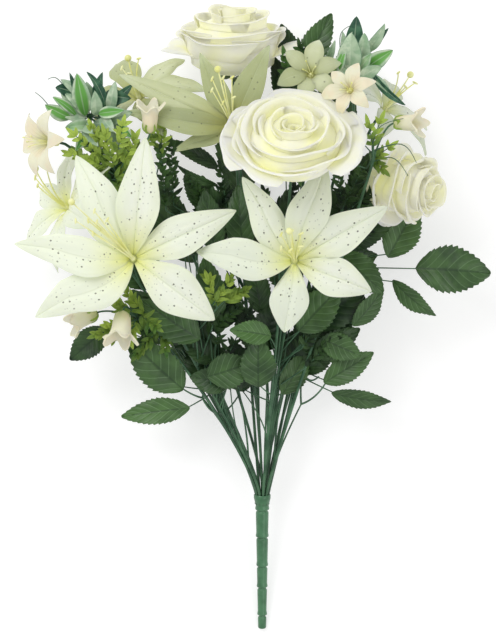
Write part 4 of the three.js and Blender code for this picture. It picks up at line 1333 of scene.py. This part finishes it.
# Each spray: the share of its stem's length where it starts, base, tip and how light it is.
# Each twig: its foot, the point that it bends round, and its tip. Each bell: its name,
# base, the way that it faces, length and mouth.
GREENERY = [
    dict(
        name="lime_spray_low", socket=(2, 147), base=(-88, 2, 84), facing=(-.7, .5, .5),
        sprays=[
            (.99, (-92, -4, 90), (-120, -14, 98), .4), (.98, (-88, -2, 90), (-94, -20, 98), .7),
            (.97, (-84, 2, 88), (-70, -8, 96), .4), (.97, (-92, 4, 92), (-104, 14, 96), .8),
            (.96, (-80, 2, 86), (-96, 22, 88), .6), (.97, (-84, -2, 84), (-108, -18, 88), .4),
            (.9, (-70, -8, 74), (-88, -30, 76), .1), (.9, (-66, -4, 72), (-64, -26, 78), .1),
            (.97, (-90, -8, 96), (-110, -6, 104), 1),
        ],
        bells=[
            ("bell_low_right", (-97, 5, 104), (-.1, -.9, .35), 24, 22),
            ("bell_low_left", (-118, 4, 92), (-.9, -.4, .2), 22, 18),
        ],
    ),
    dict(
        name="lime_spray_left", socket=(1, 138), base=(-104, 118, 92), facing=(-.3, .8, .5),
        sprays=[
            (.99, (-108, 120, 98), (-137, 144, 112), 1),
            (.98, (-103, 122, 100), (-96, 153, 118), 1), (.97, (-97, 113, 98), (-84, 128, 104), .6),
            (.5, (-28, 10, 92), (-4, 42, 96), .8), (.98, (-106, 116, 96), (-126, 124, 106), .7),
            (.98, (-104, 116, 98), (-112, 146, 108), .9),
            (.96, (-104, 110, 92), (-88, 116, 98), .35),
            (.96, (-106, 108, 90), (-124, 112, 96), .3), (.9, (-100, 94, 84), (-100, 118, 92), .2),
            (.92, (-94, 98, 86), (-82, 112, 94), .2), (.96, (-96, 122, 94), (-74, 140, 100), .5),
            (.9, (-110, 104, 84), (-134, 130, 90), .25),
            (.98, (-110, 124, 98), (-122, 150, 108), 1), (.98, (-98, 118, 100), (-86, 142, 110), 1),
            (.97, (-112, 116, 96), (-140, 128, 104), .8), (.48, (-24, 8, 90), (-32, 32, 92), .9),
            (.48, (-20, 12, 88), (-2, 22, 90), .5), (.8, (-68, 126, 92), (-66, 156, 100), 1),
        ],
        bells=[("bell_upper_left", (-76, 144, 110), (0, .9, .35), 22, 18)],
    ),
    dict(
        name="lime_spray_right", pairs=3, socket=(2, 49),
        base=(98, 126, 116), facing=(.2, .8, .5),
        sprays=[
            (.98, (97, 132, 124), (92, 152, 130), .5), (.97, (98, 124, 112), (112, 134, 114), 1),
            (.96, (96, 124, 106), (106, 114, 106), .4), (.98, (96, 136, 114), (104, 156, 112), .9),
        ],
        twigs=[
            ((98, 130, 118), (122, 138, 126), (130, 120, 124)),
            ((96, 126, 116), (98, 150, 126), (120, 154, 124)),
            ((94, 120, 110), (114, 128, 116), (124, 110, 114)),
            ((92, 116, 106), (74, 122, 110), (66, 108, 108)),
            ((96, 128, 112), (82, 142, 118), (84, 158, 118)),
        ],
        bells=[("bell_right", (114, 151, 112), (.85, 0, .5), 22, 18)],
    ),
]
lime_finish = leaf_cloth(
    "lime_plastic_leaflets", (0.035, 0.12, 0.018), (0.46, 0.62, 0.1), (0.4, 0.52, 0.1),
)


def bell_shape(length, mouth):
    """A hollow bell whose rim is drawn out into lobes."""
    rings = [(share * mouth + more, up * length) for share, more, up in BELL_RINGS]
    piece = turned(rings, 40)
    for corner in piece.data.vertices:
        x, y, z = corner.co
        lobe = max(0, z / length - 0.6) / 0.4 * math.cos(BELL_LOBES * math.atan2(y, x))
        corner.co = (x * (1 + .2 * lobe), y * (1 + .2 * lobe), z * (1 + .14 * lobe))
    note(piece, "run", [(0.25, corner.co.z / length, 0) for corner in piece.data.vertices])
    return piece


def tendril(end, foot, bow, tip, lift, foot_radii, radius):
    """A thin curled wire that grows from the end of a stem: its arm and its curl."""
    foot, bow, tip = Vector(foot), Vector(bow), Vector(tip)
    arm = stalk(end, halfway(end, foot, lift), foot, *foot_radii, 6)
    return [arm, wire((foot, foot.lerp(bow, .8), bow, tip), radius, CURL_TIP_RADIUS, 10, 2)]


for plan in GREENERY:
    node = plan["name"]
    luck = random.Random(node)
    corners = stem_corners(plan)
    end = corners[3]
    wires, leaflets = stem_wires(corners), []
    for share, base, tip, tone in plan["sprays"]:
        form = (plan.get("pairs", LIME_PAIRS), *LIME_LEAFLET, luck, tone, luck.uniform(.5, 1), .12)
        new_wires, more = branch_off(corners, share, base, tip, CURL_TIP_RADIUS, *form)
        wires += new_wires
        leaflets += more
    for twig in plan.get("twigs", []):
        wires += tendril(end, *twig, 2, ARM_RADII, BRANCH_RADIUS)
    for name, base, facing, length, mouth in plan["bells"]:
        x, y, z = axes = bloom_axes(facing)
        base = Vector(base)
        behind, cup = base - z * 10, base - z * 0.45
        hanger = (end, end + UP * 6, behind, cup)
        wires.append(wire(hanger, BELL_STALK_RADIUS, steps=14, roundness=2))
        for k in range(BELL_LOBES):
            turn = 2 * math.pi * k / BELL_LOBES + .4
            out = x * math.cos(turn) + y * math.sin(turn)
            root, point = base + out * 1.4 - z * .6, base + out * 6 + z * 8
            leaflets.append(leaflet(root, point, 5, .55, fold=.2))
        bell = smoothed(joined([bell_shape(length, mouth)], frame_of(*axes, base)), 60)
        finish_piece(bell, f"{name}_cloth", small_finish, "small_flower_fabric", name)
    branches = joined(wires, PLAN_FRAME)
    finish_piece(branches, f"{node}_wires", wire_finish, "handle_plastic", node)
    sheets = sewn(leaflets, LIME_THICKNESS, PLAN_FRAME)
    finish_piece(sheets, f"{node}_leaflets", lime_finish, "lime_plastic", node)

# ---- the grey-green sprigs ------------------------------------------------------------
# Stiff cloth sprigs: pointed leaves with a pale bloom, a green middle and a thin dark
# edge, among slender dark straps, and one or two thin curled tendrils.
SPRIG_STALK_RADII = (0.55, 0.4)
TENDRIL_FOOT_RADII = (0.45, 0.4)
TENDRIL_RADIUS = 0.4
# Each leaf: base, tip, width, how pale it is, and its turn about its length. Each tendril:
# its foot, the point that it bends round, and its tip.
SPRIGS = [
    dict(
        name="grey_sprig_left", socket=(2, 245), base=(-124, 158, 84), facing=(-.1, .9, .45),
        leaves=[
            ((-127, 158, 88), (-133, 190, 104), 16, .5, 0),
            ((-127, 160, 84), (-139, 191, 96), 6, 0, 0),
            ((-111, 164, 98), (-125, 191, 108), 8, .02, 40),
            ((-117, 164, 90), (-113, 191, 102), 9, .08, -30),
            ((-118, 158, 96), (-119, 176, 112), 10, .95, 10),
            ((-111, 175, 92), (-91, 171, 100), 12, .15, 20),
            ((-116, 159, 100), (-96, 161, 110), 10, .55, 0),
            ((-136, 176, 84), (-150, 180, 90), 11, .1, 10),
            ((-138, 156, 90), (-158, 166, 98), 12, .5, -15),
            ((-126, 150, 98), (-120, 143, 110), 10, .85, 10),
            ((-114, 156, 98), (-104, 144, 108), 10, .8, 0),
            ((-132, 152, 92), (-138, 140, 104), 10, .9, 0),
            ((-124, 170, 88), (-146, 186, 90), 9, .8, 10),
            ((-120, 152, 92), (-98, 150, 96), 10, .3, 0),
            ((-130, 164, 90), (-142, 174, 104), 10, .95, 20),
            ((-110, 154, 94), (-90, 160, 104), 11, .9, 0),
            ((-122, 150, 92), (-142, 148, 102), 11, .7, 10),
            ((-108, 160, 92), (-103, 184, 104), 9, .9, 0),
            ((-128, 148, 96), (-116, 133, 106), 9, .85, 0),
            ((-104, 152, 92), (-90, 140, 100), 9, .5, 0),
            ((-116, 156, 88), (-102, 172, 94), 12, .12, 10),
            ((-126, 158, 86), (-148, 160, 92), 11, .9, 0),
            ((-120, 164, 86), (-126, 184, 92), 10, .9, 0),
            ((-112, 148, 88), (-98, 130, 94), 9, .85, 0),
            ((-134, 158, 90), (-152, 172, 98), 8, .45, 20),
            ((-124, 146, 90), (-134, 130, 96), 9, .6, 0),
            ((-108, 164, 88), (-90, 182, 94), 8, .08, 0),
            ((-132, 166, 84), (-146, 176, 88), 9, .85, -10),
        ],
        tendrils=[
            ((-140, 176, 84), (-150, 190, 90), (-156, 186, 92)),
            ((-150, 158, 90), (-160, 172, 92), (-166, 176, 90)),
        ],
    ),
    dict(
        name="grey_sprig_right", socket=(1, 284), base=(86, 198, 74), facing=(.1, .95, .3),
        leaves=[
            ((80, 191, 84), (81, 222, 100), 20, .95, -12),
            ((84, 191, 80), (91, 222, 92), 15, .75, 18), ((82, 205, 72), (85, 236, 80), 14, .12, 0),
            ((92, 208, 74), (107, 230, 84), 9, .9, 25), ((94, 208, 70), (110, 227, 78), 5, .05, 0),
            ((90, 194, 80), (113, 209, 90), 14, .5, 0), ((67, 189, 88), (76, 210, 96), 9, .42, 0),
            ((60, 196, 76), (68, 217, 84), 6, .75, 10),
            ((98, 189, 96), (122, 165, 112), 7, .03, 35),
            ((97, 189, 92), (112, 172, 108), 6, .9, -10), ((84, 190, 84), (96, 206, 98), 11, .7, 0),
            ((78, 196, 76), (74, 224, 82), 7, .8, 0), ((88, 188, 88), (104, 196, 98), 11, .9, 0),
            ((80, 186, 84), (68, 198, 94), 8, .85, 0),
        ],
        tendrils=[
            ((72, 209, 88), (71, 224, 90), (80, 228, 92)),
            ((92, 186, 92), (80, 176, 100), (78, 168, 104)),
        ],
    ),
]
sprig_finish, shader = new_finish("bloomed_sprig_cloth", Roughness=0.5, Specular_IOR_Level=0.35)
tree = shader.id_data
across, along, luck = shares_of(tree, "run")
edge = maths("ABSOLUTE", across)
dust = cloudy(tree, 160.0, 3.0)
dusty = ramp(dust, 0.35, 0.65)
pale = colour_mix(dusty, (0.32, 0.46, 0.3), (0.56, 0.66, 0.49))
dark = colour_mix(dusty, (0.012, 0.06, 0.035), (0.05, 0.15, 0.08))
colour = colour_mix(ramp(luck, 0.1, 0.5), dark, pale)
variegated = times(ramp(luck, 0.3, 0.42), fade(luck, 0.6, 0.8))
for share, ink in (
    (times(fade(edge, 0.45, 0.75), variegated), (0.13, 0.36, 0.07)),
    # Painted shade: one half of each palest leaf is darker, as the shaded side of its fold.
    (times(ramp(across, -0.06, 0.06), ramp(luck, 0.6, 0.75, 0.0, 0.45)), (0.2, 0.34, 0.2)),
    (ramp(edge, 0.9, 1.0, 0.0, 0.7), (0.06, 0.16, 0.09)),
    (fade(edge, 0.03, 0.1, 0.4), (0.5, 0.62, 0.45)),
):
    colour = colour_mix(share, colour, ink)
dress(shader, colour, dust, 0.3, 0.0004)

sprig_blank = cloth_blank("sprig_leaf_blank", 16, 8)
for plan in SPRIGS:
    node = plan["name"]
    luck = random.Random(node)
    corners = stem_corners(plan)
    end = corners[3]
    wires, leaves = stem_wires(corners), []
    for base, tip, width, tone, roll in plan["leaves"]:
        base, tip = Vector(base), Vector(tip)
        inside = base.lerp(tip, .08)
        wires.append(stalk(end, halfway(end, base, -1.5), inside, *SPRIG_STALK_RADII, 6))
        form = leaf_surface(base, tip, width, roll, .1, .3, teeth=1, luck=luck.random())
        leaves.append(cut(sprig_blank, form, tone))
    for curl in plan["tendrils"]:
        wires += tendril(end, *curl, -2, TENDRIL_FOOT_RADII, TENDRIL_RADIUS)
    branches = joined(wires, PLAN_FRAME)
    finish_piece(branches, f"{node}_wires", wire_finish, "handle_plastic", node)
    sheets = sewn(leaves, LEAF_THICKNESS, PLAN_FRAME)
    finish_piece(sheets, f"{node}_leaves", sprig_finish, "grey_green_plastic", node)

# ---- clearing up ----------------------------------------------------------------------
# The flat blanks that the petals and leaves were cut from are taken away.
for blank in (leaf_blank, rose_blank, lily_blank, trumpet_blank, leaflet_blank, sprig_blank):
    bpy.data.objects.remove(blank)
